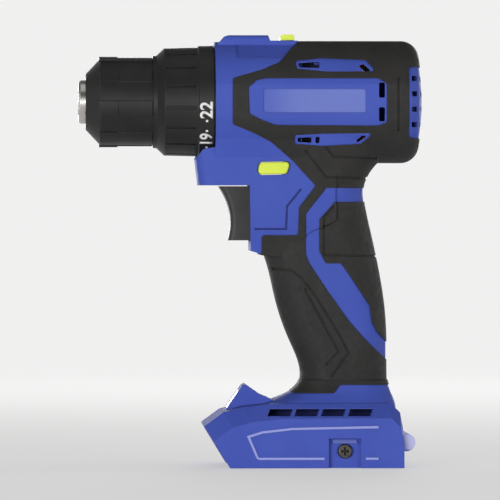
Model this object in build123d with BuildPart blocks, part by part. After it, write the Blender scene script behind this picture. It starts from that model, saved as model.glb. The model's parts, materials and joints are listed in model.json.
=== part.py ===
from build123d import *
import math
import os

# Cordless drill driver, bare tool. Millimetres, +Z up, chuck towards -X, centre plane Y = 0.

# Overall places
AXIS_Z = 173.5  # spindle axis above the underside of the foot
NOSE_X = -82.0  # front face of the chuck nose
BARREL_FRONT_X = -17.1  # front wall of the housing, behind the torque collar
BARREL_REAR_X = 82.0  # rear cap of the housing

# Moulded housing
BARREL_R = 28.7
BARREL_ROUND = 8.5  # rounding into the rear cap
BARREL_DOME = 2.0  # swell of the rear cap
CHEEK_HALF = 27.6  # flats on the two sides of the barrel
WALL = 2.6
RIB_T = 2.4
RIB_X = 57.8  # front end of the rear bearing's ribs
BODY_HALF = 18.8  # chin and switch housing, half width
CHIN_LOW = -39.8  # underside of the chin, from the axis
CHIN_ROUND = 6.0  # corners of the chin, seen from above
GRIP_HALF = 17.0  # handle, half width
FOOT_HALF = 37.0  # foot, half width
FOOT_H = 30.5  # deck of the foot
FOOT_SLOPE_H = 7.0  # height of the sloped band round the deck
FOOT_SLOPE_W = 9.0
BUMPER_R = 4.2
DECK_TOP = 31.8  # ridge on top of the barrel, above the axis
DECK_HALF = 9.5
DECK_REAR_X = 22.4
RUBBER_PROUD = 0.5  # overmould above the housing
RUBBER_DEPTH = 1.4  # overmould below the housing's surface
GROOVE_W = 1.0
FIT = 0.1  # seats of fixed pieces
SLIDE_GAP = 0.25  # moving pieces in the housing
TURN_GAP = 0.4  # turning pieces beside fixed ones

# Battery dock under the foot
DOCK_REAR_X = 61.0
DOCK_MOUTH_HALF = 22.5
DOCK_RAIL_HALF = 27.5
DOCK_LIP = 4.5
DOCK_H = 10.0

# Chuck
CHUCK_REAR_X = -45.8
NOSE_R = 10.4
CHUCK_BORE_R = 6.75
CHUCK_BORE_X = -61.0  # bottom of the tool bore
CHUCK_SEAT_X = CHUCK_BORE_X + 3.0  # seat of the screw sunk in the bottom
CHUCK_SCREW_R = 4.8
SLEEVE_R = 21.6
SLEEVE_BASE_R = 20.7
SLEEVE_FRONT_X = -78.6
SLEEVE_FRONT_R = 13.9
SLEEVE_CONE_X = -71.6
SLEEVE_IN_R = 18.0
SLEEVE_RIBS = 8
CHUCK_NUT_FRONT_X = -72.0
CHUCK_NUT_REAR_X = -67.4
JAW_R = 3.6
JAW_ANGLE = 15.0
JAW_TIP_X = -76.0
JAW_TIP_R = 7.2  # jaw axis from the spindle axis, at the tip
JAW_LENGTH = 26.5
JAW_TRAVEL = 21.0
JAW_GAP = 0.1
GRIP_FACE_R = 6.9  # jaw faces from the axis, chuck open

# Torque collar and clutch
COLLAR_FRONT_X = -45.0
COLLAR_REAR_X = BARREL_FRONT_X - TURN_GAP
COLLAR_FRONT_R = 25.6
COLLAR_LIP_R = 22.0  # thin lip over the rear of the sleeve
COLLAR_LIP_L = 1.5
COLLAR_R = 26.9
COLLAR_IN_R = 22.6
COLLAR_FLUTES = 16
NOSE_TUBE_R = 14.3
CLUTCH_NUT_X = -36.5
CLUTCH_NUT_T = 4.5
CLUTCH_TRAVEL = 5.0
CLUTCH_WIRE_R = 1.1
CLUTCH_COIL_R = 18.0
CLUTCH_TURNS = 2.5
CLUTCH_WASHER_T = 1.5
CLUTCH_BALL_R = 1.9
CLUTCH_BALLS = 6

# Gear train
MODULE = 1.0
SUN_TEETH = 12
PLANET_TEETH = 12
RING_TEETH = SUN_TEETH + 2 * PLANET_TEETH
PRESSURE = math.radians(25)
ADDENDUM = 0.85 * MODULE
DEDENDUM = 1.15 * MODULE
BACKLASH = 0.1
PLANETS = 3
PIN_R = 2.0
SPINDLE_R = 6.0
SPINDLE_FLATS = 9.6
CASE_IN_R = 21.5
CASE_R = 23.5
CASE_FRONT_X = -21.5
CASE_REAR_X = 9.0
CASE_PLATE_T = 3.7  # front wall of the case
NOSE_BEARING_W = 6.0
NOSE_BEARING_R = 12.0
BUSH_R = 8.6
PLATE_T = 3.0  # carrier plates
CARRIER_2_T = 2.4
AXIAL_GAP = 0.2
STAGE_W = 5.2  # face width of the planets
SHIFT = 4.0  # travel between the two gears
FORK_WIRE_R = 0.5

# Motor
SHAFT_R = 2.5
BEARING_R = 7.0
BEARING_W = 5.0
STATOR_R = 23.0
STATOR_X = 28.0
STATOR_L = 24.0
STATOR_IN_R = 12.0
STATOR_TEETH = 6
AIR_GAP = 0.4
YOKE_T = 3.5
TOOTH_W = 5.0
COIL_T = 2.4
COIL_OVER = 3.2  # windings past each end of the core
FAN_R = 20.5
BAFFLE_X = 23.0
BAFFLE_L = 1.2
REAR_BEARING_X = 70.0

# Electrics
SWITCH_X = 12.2
SWITCH_L = 25.8
SWITCH_HALF = 12.0
SWITCH_TOP = -43.0  # from the axis
SWITCH_LOW = -60.0
TERMINAL_X = 47.0
TERMINAL_L = 22.0
TERMINAL_HALF = 15.0
BOARD_X = 33.0
BOARD_L = 50.0
BOARD_HALF = 24.0
BOARD_T = 8.0
BOARD_TOP = DOCK_H + WALL + FIT + BOARD_T
LEAD_R = 1.1
FIN_HALF = 12.0  # work light housing, half width
LENS_L = 10.0
LENS_W = 14.0
LENS_T = 2.6
LED_BOARD_T = 1.2

# Controls
TRIGGER_HALF = 10.0
TRIGGER_TOP = -40.2  # from the axis
TRIGGER_LOW = -66.0
TRIGGER_TRAVEL = 7.0
BUTTON_PROUD = 1.6
BUTTON_ROUND = 2.0
KNOB_X = 17.6
KNOB_L = 6.6
STEM_L = 4.6  # selector stem, from the front of its knob
KNOB_W = 15.0
SELECTOR_HALF = 6.5  # plate under the ridge, half width
SLOT_HALF = 4.0

# Fasteners
SCREW_R = 1.5
SCREW_HEAD_R = 2.8
SCREW_L = 14.0
BOSS_R = 3.4
HOOK_X = 43.6
HOOK_Z = 8.0
HOOK_R = 2.0  # M4
HOOK_POCKET = 2.5
INSERT_Y = 28.4
INSERT_R = HOOK_R + 1.4

SPINDLE = Axis((0, 0, AXIS_Z), (1, 0, 0))
SIDE = Plane(origin=(0, 0, AXIS_Z), x_dir=(1, 0, 0), z_dir=(0, -1, 0))  # side view, from the axis
SIDE_FOOT = Plane.XZ  # side view, from the floor


def cross(x):
    """Section plane across the spindle at x, looking to the rear."""
    return Plane(origin=(x, 0, AXIS_Z), x_dir=(0, 1, 0), z_dir=(1, 0, 0))


def side_block(points, plane, half=60.0, corner=0.0):
    """A side-view outline carried through the tool."""
    with BuildPart() as block:
        with BuildSketch(plane) as outline:
            with BuildLine():
                Polyline(*points, close=True)
            make_face()
            if corner:
                fillet(outline.vertices(), corner)
        extrude(amount=half, both=True)
    return block.part


def side_ribbon(points, plane, width, half=60.0):
    """A side-view line of the given width carried through the tool."""
    with BuildPart() as ribbon:
        with BuildSketch(plane):
            with BuildLine():
                Polyline(*points)
            trace(line_width=width)
        extrude(amount=half, both=True)
    return ribbon.part


def ring(x0, x1, outer, inner=0.0):
    """A plain disc or ring on the spindle axis."""
    with BuildPart() as disc:
        with BuildSketch(cross(x0)):
            Circle(outer)
            if inner:
                Circle(inner, mode=Mode.SUBTRACT)
        extrude(amount=x1 - x0)
    return disc.part


def turned(points):
    """A turned piece from its half outline of x and radius."""
    with BuildPart() as piece:
        with BuildSketch(SIDE):
            with BuildLine():
                Polyline(*points, close=True)
            make_face()
        revolve(axis=SPINDLE)
    return piece.part


# Outer forms of the housing, each grown or shrunk evenly


def barrel_form(grow):
    """Motor and gearbox barrel, turned, with a flat cheek on each side."""
    radius = BARREL_R + grow
    front = BARREL_FRONT_X - grow
    rear = BARREL_REAR_X + grow
    cap_r = radius - BARREL_ROUND
    cap_ball = (cap_r**2 + BARREL_DOME**2) / (2 * BARREL_DOME)
    with BuildPart() as form:
        with BuildSketch(SIDE):
            with BuildLine():
                Line((front, 0), (front, radius))
                top = Line((front, radius), (rear - BARREL_DOME - BARREL_ROUND, radius))
                turn = TangentArc(top @ 1, (rear - BARREL_DOME, cap_r), tangent=top % 1)
                RadiusArc(turn @ 1, (rear, 0), cap_ball)
                Line((rear, 0), (front, 0))
            make_face()
        revolve(axis=SPINDLE)
        with Locations((0, 0, AXIS_Z)):
            Box(400, 2 * (CHEEK_HALF + grow), 400, mode=Mode.INTERSECT)
    return form.part


def body_form(grow):
    """Chin and switch housing under the barrel."""
    front = BARREL_FRONT_X
    with BuildPart() as chin:
        with BuildSketch(SIDE):
            with BuildLine():
                Polyline(
                    (front - 9.3, -27), (front - 5.7, -22.5), (front, -21.5), (front + 10, -21.5),
                    (front + 10, CHIN_LOW), (front - 7.8, CHIN_LOW), close=True)
            make_face()
            offset(amount=grow, kind=Kind.INTERSECTION, mode=Mode.REPLACE)
        extrude(amount=BODY_HALF + grow, both=True)
        upright = chin.faces().sort_by(Axis.X)[0].edges().sort_by(Axis.Y)
        fillet([upright[0], upright[-1]], CHIN_ROUND + grow)
    with BuildPart() as form:
        with BuildSketch(SIDE):
            with BuildLine():
                Polyline(
                    (front, -8), (40, -8), (40, -56), (26, -63.2), (16, -73.5), (5.2, -72.6), (-0.2, -71),
                    (-0.7, CHIN_LOW), (front, CHIN_LOW), close=True)
            make_face()
            offset(amount=grow, kind=Kind.INTERSECTION, mode=Mode.REPLACE)
        extrude(amount=60, both=True)
        with BuildSketch(cross(0)):
            with BuildLine():
                Polyline(
                    (-BARREL_R + 1.1, -6), (-BODY_HALF, -26.5), (-BODY_HALF, -60), (4.4 - BODY_HALF, -78),
                    (BODY_HALF - 4.4, -78), (BODY_HALF, -60), (BODY_HALF, -26.5), (BARREL_R - 1.1, -6),
                    close=True)
            make_face()
            offset(amount=grow, kind=Kind.INTERSECTION, mode=Mode.REPLACE)
        extrude(amount=200, both=True, mode=Mode.INTERSECT)
        add(chin.part)
    return form.part


def handle_sections():
    """Height, front, rear and half width down the neck and the handle."""
    neck = ((-8, 14, 66, 10.0), (-20, 15, 64.5, 5.6), (-28, 15, 61.5, 3.0), (-33.5, 15, 56.8, 1.7),
            (-40, 15, 54.0, 0.9), (-48, 12, 54.2, 0.5))
    grip = ((0.82, 5.5, 57.4, 0.2), (0.643, 8.6, 60.6, 0), (0.462, 12.2, 63.2, 0),
            (0.218, 19.2, 64.7, 0), (0.0, 24.2, 64.8, 0.5), (-0.095, 24.2, 65.0, 1.0))
    low = FOOT_H + 11.0
    high = AXIS_Z - 48
    for drop, front, rear, flare in neck:
        yield AXIS_Z + drop, front, rear, GRIP_HALF + flare
    for share, front, rear, flare in grip:
        yield low + share * (high - low), front, rear, GRIP_HALF + flare


def handle_form(grow):
    """Neck and handle, lofted through oval sections."""
    with BuildPart() as form:
        for height, front, rear, half in handle_sections():
            with BuildSketch(Plane.XY.offset(height)):
                with Locations(((front + rear) / 2, 0)):
                    RectangleRounded(rear - front + 2 * grow, 2 * (half + grow), 0.86 * (half + grow))
        loft()
    return form.part


def skirt_form(grow):
    """Flare from the handle out to the deck of the foot."""
    with BuildPart() as form:
        for rise, front, rear, flare in (
                (-3.5, 0, 69, 10), (0.5, 9, 68.5, 7), (5.5, 20, 66.5, 2.8), (10.5, 24, 65, 0.7)):
            half = GRIP_HALF + flare + grow
            with BuildSketch(Plane.XY.offset(FOOT_H + rise)):
                with Locations(((front + rear) / 2, 0)):
                    RectangleRounded(rear - front + 2 * grow, 2 * half, 0.6 * half)
        loft()
    return form.part


def upper_form(grow):
    """Everything the rubber lies on: barrel, chin, handle and skirt."""
    with BuildPart() as form:
        add(barrel_form(grow))
        add(body_form(grow))
        add(handle_form(grow))
        add(skirt_form(grow))
    return form.part


def left_half(form):
    """The half of a form on the left of the centre plane."""
    with BuildPart() as half:
        add(form)
        split(bisect_by=Plane.XZ, keep=Keep.TOP)
    return half.part


def foot_outline(drop):
    """Side outline of the foot, its upper edge lowered by drop along the front and rear slopes."""
    lean = 12.0 / 19.6
    front_z = FOOT_H - 10.9 - drop
    return ((-10.7, 0), (-10.7 - lean * front_z, front_z), (-13.8 + lean * drop, FOOT_H - 4.4 - drop),
            (-4.6 + lean * drop, FOOT_H - 1.8 - drop), (9.6 + lean * drop, FOOT_H - 0.3 - drop),
            (65.6, FOOT_H - drop), (70.1, FOOT_H - 4.4 - drop), (71.7, FOOT_H - 12.5 - drop), (71.7, 0))


def foot_form():
    """Foot with its sloped band, before the dock is cut."""
    flat_half = FOOT_HALF - FOOT_SLOPE_W
    with BuildPart() as form:
        add(side_block(foot_outline(0), SIDE_FOOT, flat_half))
        for half, drop in ((flat_half, 0), (FOOT_HALF, FOOT_SLOPE_H)):
            with BuildSketch(SIDE_FOOT.offset(half)):
                with BuildLine():
                    Polyline(*foot_outline(drop), close=True)
                make_face()
        loft(ruled=True)
        mirror(about=Plane.XZ)
    return form.part


# Work light in the fin at the front of the foot

FIN_LOW = (-12.9, FOOT_H - 5.0)
FIN_HIGH = (-4.2, FOOT_H + 7.6)
fin_run = FIN_HIGH[0] - FIN_LOW[0]
fin_rise = FIN_HIGH[1] - FIN_LOW[1]
LENS_PLANE = Plane(
    origin=((FIN_LOW[0] + FIN_HIGH[0]) / 2, 0, (FIN_LOW[1] + FIN_HIGH[1]) / 2),
    x_dir=(0, 1, 0), z_dir=(-fin_rise, 0, fin_run))


def fin_form():
    """Raised fin that carries the work light."""
    with BuildPart() as form:
        add(side_block((FIN_LOW, FIN_HIGH, (FIN_HIGH[0] + 1.6, FIN_HIGH[1] + 0.9), (4.5, FOOT_H + 3.5),
                        (11.7, FOOT_H + 0.4), (14, FOOT_H - 6), (-12, FOOT_H - 8)), SIDE_FOOT, FIN_HALF))
        fillet(form.edges().filter_by(Plane.XZ).group_by(Axis.Z)[-1], 1.0)
    return form.part


SELECTOR_FLOOR = DECK_TOP - 2.6
SELECTOR_ROOF = SELECTOR_FLOOR - 1.2


def deck_form():
    """Ridge on top of the barrel with the saddle for the gear selector."""
    saddle_x = KNOB_X - KNOB_L / 2 - SHIFT - 1.0
    with BuildPart() as form:
        add(side_block(((-15.2, 18), (-15.6, 27.5), (-12.5, DECK_TOP - 0.6), (-10.5, DECK_TOP),
                        (saddle_x - 1, DECK_TOP), (saddle_x, SELECTOR_FLOOR), (DECK_REAR_X, SELECTOR_FLOOR),
                        (DECK_REAR_X, 18)), SIDE, DECK_HALF))
        fillet(form.edges().filter_by(Axis.X).group_by(Axis.Z)[-1], 2.5)
    return form.part


# Side-view outlines of the overmould and of the windows left in it, from the axis

SKIRT_EDGE = FOOT_H + 4.4 - AXIS_Z
RUBBER_EDGE = (
    (DECK_REAR_X, 45), (DECK_REAR_X, 28.9), (13.2, 18.7), (5.0, 15.2), (-9.1, 11.1), (-9.1, -10.9),
    (1.0, -15.0), (9.1, -19.1), (19.4, -27.8), (30.6, -40.0), (22.7, -50.2), (22.2, -63.5), (5.0, -63.5),
    (5.0, -72.5), (-6, -74), (-6, -80), (4, -112), (12, -131), (20, SKIRT_EDGE), (39.1, SKIRT_EDGE),
    (42.1, SKIRT_EDGE + 3.9), (95, SKIRT_EDGE + 3.9), (95, 45))
STRIPE = (
    (72, -41.0), (35.5, -41.0), (25.8, -53.3), (25.8, -72.3), (27.3, -76.4), (36.0, -89.7), (46.2, -104.0),
    (53.4, -112.2), (59.6, -118.3), (72, -129), (72, -121), (60.1, -109.6), (57.5, -105.0), (56.5, -97.4),
    (47.3, -83.5), (42.7, -76.9), (35.5, -76.9), (32.4, -71.2), (32.4, -55.9), (39.6, -47.7), (72, -47.7))
LABEL_PANEL = (
    (-1.8, 6.4), (1.8, 10.0), (6.9, 11.0), (59.9, 11.0), (64.0, 8.4), (64.0, -9.9), (59.9, -11.5),
    (11.0, -11.2), (4.8, -8.9), (-1.3, -5.9))
UPPER_SLOT = ((20.3, 19.2), (32.6, 20.6), (54.0, 19.7), (59.1, 14.3), (35.6, 14.2), (21.3, 15.6))
LOWER_SLOT = ((20.3, -16.0), (32.6, -15.3), (58.1, -15.0), (52.0, -20.1), (33.6, -21.1), (20.3, -20.1))
REAR_STRIP = ((74.4, 16.5), (74.4, -17.5), (95, -17.5), (95, 16.5))
RUBBER_GROOVES = (
    ((25.5, -23.2), (35.7, -35.9), (60, -36.4)),
    ((35.1, -21.1), (38.7, -26.2), (60, -26.8)),
    ((39.1, -49.8), (34.5, -54.9), (34.5, -72.8), (65, -73.8)),
    ((10, -79.5), (18.6, -80.0), (23.8, -83.5), (30.9, -92.8), (42.2, -111.2), (46.3, -119.4),
     (38.1, -131.0)),
    ((25.4, -88.9), (41.5, -118.8), (35.6, -125.0)),
    ((69.5, 11.5), (69.5, -14.0)))
BODY_GROOVE = ((1.5, -60.5), (16.5, -60.5), (17.0, -49.7), (23.6, -41.6))
LABEL_FLAT = ((5.4, 5.9), (53.8, 5.9), (53.8, -5.3), (5.4, -5.3))
VENTS = (
    ((60.2, 8.9), (63.0, 8.9), (63.0, 1.8), (60.2, 1.8)),
    ((60.2, -2.8), (63.0, -2.8), (63.0, -9.4), (60.2, -9.4)),
    ((22.0, 18.2), (32.4, 18.9), (32.0, 15.9), (22.6, 16.2)),
    ((53.0, 17.8), (56.8, 14.4), (53.6, 14.2), (50.5, 17.0)),
    ((21.8, -17.2), (28.4, -17.0), (28.4, -19.6), (21.8, -19.2)),
    ((30.2, -16.9), (32.4, -16.8), (32.0, -19.8), (30.2, -19.7)),
    ((50.6, -19.2), (55.6, -16.2), (52.4, -16.2), (49.0, -19.0)))
REAR_VENT_ROWS = (10.95, 3.65, -3.65, -10.95)
REAR_VENT_H = 2.4
REAR_VENT_X = 77.1  # holes in the side of the strip
REAR_VENT_L = 2.5
FOOT_VENTS = (7.0, 19.6, 32.2, 45.0)
FOOT_VENT_L = 10.9
FOOT_VENT_H = 3.3

# Screw bosses: x and height
BOSSES = (
    (-15.0, AXIS_Z - 33.5), (14.0, AXIS_Z - 71.5), (49.8, AXIS_Z - 56.0), (24.8, FOOT_H + 31.0),
    (-2.0, 17.5), (64.0, 17.5), (66.0, AXIS_Z + 21.0), (66.0, AXIS_Z - 21.0))


def overmould_block():
    """Space the left rubber takes, from its seat outwards."""
    with BuildPart() as block:
        add(side_block(RUBBER_EDGE, SIDE, corner=1.2))
        add(side_block(STRIPE, SIDE, corner=0.8), mode=Mode.SUBTRACT)
        add(side_block(LABEL_PANEL, SIDE, corner=1.0), mode=Mode.SUBTRACT)
        add(side_block(UPPER_SLOT, SIDE, corner=1.0), mode=Mode.SUBTRACT)
        add(side_block(LOWER_SLOT, SIDE, corner=1.0), mode=Mode.SUBTRACT)
        add(side_block(REAR_STRIP, SIDE, corner=2.0), mode=Mode.SUBTRACT)
        split(bisect_by=Plane.XZ, keep=Keep.TOP)
        add(left_half(upper_form(-RUBBER_DEPTH)), mode=Mode.SUBTRACT)
    return block.part


def screw_path(head_y, radius, head_radius, far_y, near_y):
    """Shank and head room along Y for every housing screw."""
    with BuildPart() as path:
        for x, z in BOSSES:
            with BuildSketch(Plane(origin=(x, far_y, z), x_dir=(1, 0, 0), z_dir=(0, 1, 0))):
                Circle(radius)
            extrude(amount=head_y - far_y)
            with BuildSketch(Plane(origin=(x, head_y, z), x_dir=(1, 0, 0), z_dir=(0, 1, 0))):
                Circle(head_radius)
            extrude(amount=near_y - head_y)
    return path.part


def hook_plane(side):
    """Inner end of the threaded insert on the given side of the foot, facing out."""
    return Plane(origin=(HOOK_X, side * INSERT_Y, HOOK_Z), x_dir=(1, 0, 0), z_dir=(0, side, 0))


SCREW_SEAT_Y = SCREW_L / 2
outer_form = left_half(upper_form(0))
rubber_room = overmould_block()
foot_solid = left_half(foot_form())

# Button opening through the body, a slanted-end outline
BUTTON_OUTLINE = ((3.6, -28.6), (19.1, -28.3), (16.8, -34.6), (2.6, -34.9))

with BuildPart() as hollow:
    add(barrel_form(-WALL))
    add(handle_form(-WALL))
    add(skirt_form(-WALL))
    add(body_form(-WALL))
    # the chin stays solid in front of the barrel's front wall
    with Locations((BARREL_FRONT_X + WALL - 50, 0, AXIS_Z)):
        Box(100, 200, 400, mode=Mode.SUBTRACT)
    # room under the ridge for the selector's plate
    with Locations((6, 0, AXIS_Z + 15)):
        Box(31, 2 * SELECTOR_HALF + 1, 2 * (SELECTOR_ROOF - 15))
    # foot: control board, and the deck above it
    with Locations((31, 0, (DOCK_H + WALL + 22.5) / 2)):
        Box(72, 64, 22.5 - DOCK_H - WALL)
    with Locations((35, 0, (22 + FOOT_H - WALL) / 2)):
        Box(62, 50, FOOT_H - WALL - 22)

with BuildPart() as supports:
    for x, z in BOSSES:
        with BuildSketch(Plane(origin=(x, -50, z), x_dir=(1, 0, 0), z_dir=(0, 1, 0))):
            Circle(BOSS_R)
        extrude(amount=100)
    # ribs on the centre plane that carry the rear bearing, clear of the shaft
    with Locations(((RIB_X + BARREL_REAR_X - 1) / 2, 0, AXIS_Z)):
        Box(BARREL_REAR_X - 1 - RIB_X, RIB_T, 2 * BARREL_R - 3)
    add(ring(RIB_X - 1, REAR_BEARING_X, SHAFT_R + 1.1), mode=Mode.SUBTRACT)
    add(ring(REAR_BEARING_X - 0.5, REAR_BEARING_X + BEARING_W + FIT, BEARING_R + FIT), mode=Mode.SUBTRACT)
    # stiffening rib under the deck of the foot, each side of the leads
    with Locations([(34.5, side * 11, (BOARD_TOP + 0.3 + FOOT_H - WALL + 0.3) / 2) for side in (-1, 1)]):
        Box(63, RIB_T, FOOT_H - WALL - BOARD_TOP)
    # seats of the gear case, the stator and the rear bearing
    add(ring(5, 8, BARREL_R - 1, CASE_R + FIT))
    with Locations((6.5, 0, AXIS_Z + 30)):
        Box(6, 2 * SELECTOR_HALF + 1, 20, mode=Mode.SUBTRACT)
    # baffle between the fan and the windings
    add(ring(BAFFLE_X, BAFFLE_X + BAFFLE_L, BARREL_R - 1, FAN_R + 0.5))
    add(ring(STATOR_X + 2, STATOR_X + 5, BARREL_R - 1, STATOR_R + FIT))
    add(ring(STATOR_X + STATOR_L - 6, STATOR_X + STATOR_L - 3, BARREL_R - 1, STATOR_R + FIT))
    add(ring(REAR_BEARING_X, BARREL_REAR_X - 1, BEARING_R + 2.6, BEARING_R + FIT))
    add(ring(REAR_BEARING_X + BEARING_W + FIT, BARREL_REAR_X - 1, BEARING_R + 2.6))
    # shelf under the switch
    with Locations((20, 0, AXIS_Z + SWITCH_LOW - 1.3)):
        Box(14, 40, 2.4)
    add(outer_form + foot_solid, mode=Mode.INTERSECT)

barrel_core = Pos(0, 0, AXIS_Z) * Box(300, 30, 300)

with BuildPart() as openings:
    # front opening for the gear case, and the cradle under the collar
    add(ring(BARREL_FRONT_X - 1, BARREL_FRONT_X + WALL + 1, CASE_R + FIT))
    add(ring(COLLAR_FRONT_X, BARREL_FRONT_X, COLLAR_R + 0.8))
    # battery dock: a mouth between two lips and the rail grooves above them
    with Locations(((DOCK_REAR_X - 40) / 2, 0, DOCK_LIP / 2)):
        Box(DOCK_REAR_X + 40, 2 * DOCK_MOUTH_HALF, DOCK_LIP + 1)
    with Locations(((DOCK_REAR_X - 40) / 2, 0, (DOCK_LIP + DOCK_H) / 2)):
        Box(DOCK_REAR_X + 40, 2 * DOCK_RAIL_HALF, DOCK_H - DOCK_LIP)
    # seat of the terminal block
    with Locations((TERMINAL_X, 0, DOCK_H + 1)):
        Box(TERMINAL_L + 2 * FIT, 2 * (TERMINAL_HALF + FIT), 4)
    # trigger opening in the front of the switch housing
    with Locations((-5, 0, AXIS_Z + (TRIGGER_TOP + TRIGGER_LOW) / 2)):
        Box(20, 2 * (TRIGGER_HALF + SLIDE_GAP), TRIGGER_TOP - TRIGGER_LOW + 2 * SLIDE_GAP)
    # direction button, right through
    add(side_block(BUTTON_OUTLINE, SIDE, corner=BUTTON_ROUND))
    # selector slot in the saddle
    with Locations((KNOB_X - KNOB_L / 2 + (STEM_L - SHIFT) / 2, 0, AXIS_Z + SELECTOR_FLOOR)):
        Box(STEM_L + SHIFT + 2 * SLIDE_GAP, 2 * SLOT_HALF, 6)
    # flat facet on each shoulder
    for side in (-1, 1):
        lean = math.radians(58)
        reach = BARREL_R - 0.7
        facet = Plane(
            origin=(6.5, side * reach * math.cos(lean), AXIS_Z + reach * math.sin(lean)),
            x_dir=(1, 0, 0), z_dir=(0, side * math.cos(lean), math.sin(lean)))
        with Locations(facet):
            Box(27, 12, 8, align=(Align.CENTER, Align.CENTER, Align.MIN))
    # vents in the barrel, the rear cap and the sloped band of the foot
    for vent in VENTS:
        add(side_block(vent, SIDE, corner=0.6) - barrel_core)
    for row in REAR_VENT_ROWS:
        with Locations([(80, y, AXIS_Z + row) for y in (-13.6, 13.6)]):
            Box(16, 7.2, REAR_VENT_H)
        with Locations([(REAR_VENT_X, y, AXIS_Z + row) for y in (-28, 28)]):
            Box(REAR_VENT_L, 28, REAR_VENT_H)
    for start in FOOT_VENTS:
        low = FOOT_H - FOOT_SLOPE_H + 1.0
        end = start + FOOT_VENT_L
        vent = ((start, low), (end, low), (end + 1.3, low + FOOT_VENT_H), (start + 1.3, low + FOOT_VENT_H))
        for side in (-1, 1):
            with BuildSketch(SIDE_FOOT.offset(-side * 22)):
                with BuildLine():
                    Polyline(*vent, close=True)
                make_face()
            extrude(amount=-side * 20)
    # hook pockets, with a hole for a threaded insert in each
    for side in (-1, 1):
        with Locations((HOOK_X, side * (FOOT_HALF - HOOK_POCKET / 2 + 1), 6.5)):
            Box(15.2, HOOK_POCKET + 2, 15)
        with BuildSketch(hook_plane(side)):
            Circle(INSERT_R + FIT / 2)
        extrude(amount=7)
    # work light pocket
    with BuildSketch(LENS_PLANE):
        Rectangle(LENS_W + 2 * FIT, LENS_L + 2 * FIT)
    extrude(amount=-LENS_T)
    with BuildSketch(LENS_PLANE):
        Rectangle(LENS_W - 2, LENS_L - 2)
    extrude(amount=-LENS_T - LED_BOARD_T - FIT)

label_core = Pos(0, 0, AXIS_Z) * Box(300, 2 * (CHEEK_HALF - 0.35), 300)
label_flat = side_block(LABEL_FLAT, SIDE, corner=1.0) - label_core
body_groove = side_ribbon(BODY_GROOVE, SIDE, GROOVE_W) - body_form(-0.5)
screw_room = screw_path(SCREW_SEAT_Y, SCREW_R + FIT / 2, SCREW_HEAD_R + SLIDE_GAP, -SCREW_SEAT_Y - 1, 60)

# Left half in full; the right one is its mirror image, and the screws go in from the right
with BuildPart() as half_shell:
    add(fin_form())
    add(deck_form())
    # rounded bumper bar across the heel of the foot
    with BuildSketch(SIDE_FOOT):
        with Locations((72.8, 12.0)):
            Circle(BUMPER_R)
    extrude(amount=FOOT_HALF - 4)
    # raised line on the side of the foot
    for points in (((2.4, 4.5), (-2.1, 14.9), (4.5, 17.0), (18.8, 18.6), (59.5, 19.4)),
                   ((2.4, 4.5), (34.0, 4.5)), ((53.4, 4.5), (59.5, 4.5))):
        add(side_ribbon(points, SIDE_FOOT, 1.2, FOOT_HALF + 0.5))
    split(bisect_by=Plane.XZ, keep=Keep.TOP)
    add([outer_form, foot_solid])
    add(left_half(hollow.part), mode=Mode.SUBTRACT)
    add(supports.part)
    add([openings.part, label_flat, body_groove, rubber_room], mode=Mode.SUBTRACT)

rubber_cuts = [side_ribbon(groove, SIDE, GROOVE_W) - outer_form for groove in RUBBER_GROOVES]
with BuildPart() as half_rubber:
    add(rubber_room)
    add(left_half(upper_form(RUBBER_PROUD)), mode=Mode.INTERSECT)
    add(rubber_cuts, mode=Mode.SUBTRACT)

with BuildPart() as housing_left:
    add(half_shell.part)
    add(screw_room, mode=Mode.SUBTRACT)

with BuildPart() as housing_right:
    add(half_shell.part.mirror(Plane.XZ))
    add(screw_room, mode=Mode.SUBTRACT)

with BuildPart() as grip_left:
    add(half_rubber.part)

with BuildPart() as grip_right:
    add(half_rubber.part.mirror(Plane.XZ))
    add(screw_room, mode=Mode.SUBTRACT)

# Fasteners

with BuildPart() as housing_screws:
    add(screw_path(SCREW_SEAT_Y, SCREW_R, SCREW_HEAD_R, -SCREW_SEAT_Y, SCREW_SEAT_Y + 2.0))

with BuildPart() as hook_screw:
    with BuildSketch(SIDE_FOOT.offset(INSERT_Y + 0.6)):
        with Locations((HOOK_X, HOOK_Z)):
            Circle(HOOK_R - FIT / 2)
    extrude(amount=FOOT_HALF - HOOK_POCKET - INSERT_Y - 0.6)
    with BuildSketch(SIDE_FOOT.offset(FOOT_HALF - HOOK_POCKET)):
        with Locations((HOOK_X, HOOK_Z)):
            Circle(HOOK_R * 1.7)
    extrude(amount=HOOK_POCKET - 0.3)
    chamfer(hook_screw.faces().sort_by(Axis.Y)[0].edges(), 0.5)
    with BuildSketch(SIDE_FOOT.offset(FOOT_HALF - 0.3)):
        with Locations((HOOK_X, HOOK_Z)):
            Rectangle(2 * HOOK_R, 0.5 * HOOK_R)
            Rectangle(0.5 * HOOK_R, 2 * HOOK_R)
    extrude(amount=-1.4, mode=Mode.SUBTRACT)

with BuildPart() as hook_inserts:
    for side in (-1, 1):
        with BuildSketch(hook_plane(side)):
            Circle(INSERT_R)
            Circle(HOOK_R, mode=Mode.SUBTRACT)
        extrude(amount=FOOT_HALF - HOOK_POCKET - INSERT_Y - FIT)

# Keyless chuck. The jaws lean towards the nose; at rest the chuck stands open.

JAW_LEAN = math.radians(JAW_ANGLE)
JAW_DIR = (math.cos(JAW_LEAN), 0, math.sin(JAW_LEAN))


def jaw_plane(back):
    """Plane across the top jaw's axis, back from its tip along that axis."""
    return Plane(
        origin=(JAW_TIP_X + back * JAW_DIR[0], 0, AXIS_Z + JAW_TIP_R + back * JAW_DIR[2]),
        x_dir=(0, 1, 0), z_dir=JAW_DIR)


def jaw_top(x):
    """Outermost radius of a jaw where its flank crosses x."""
    along = x + JAW_R * math.sin(JAW_LEAN) - JAW_TIP_X
    return JAW_TIP_R + along * math.tan(JAW_LEAN) + JAW_R * math.cos(JAW_LEAN)


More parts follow.
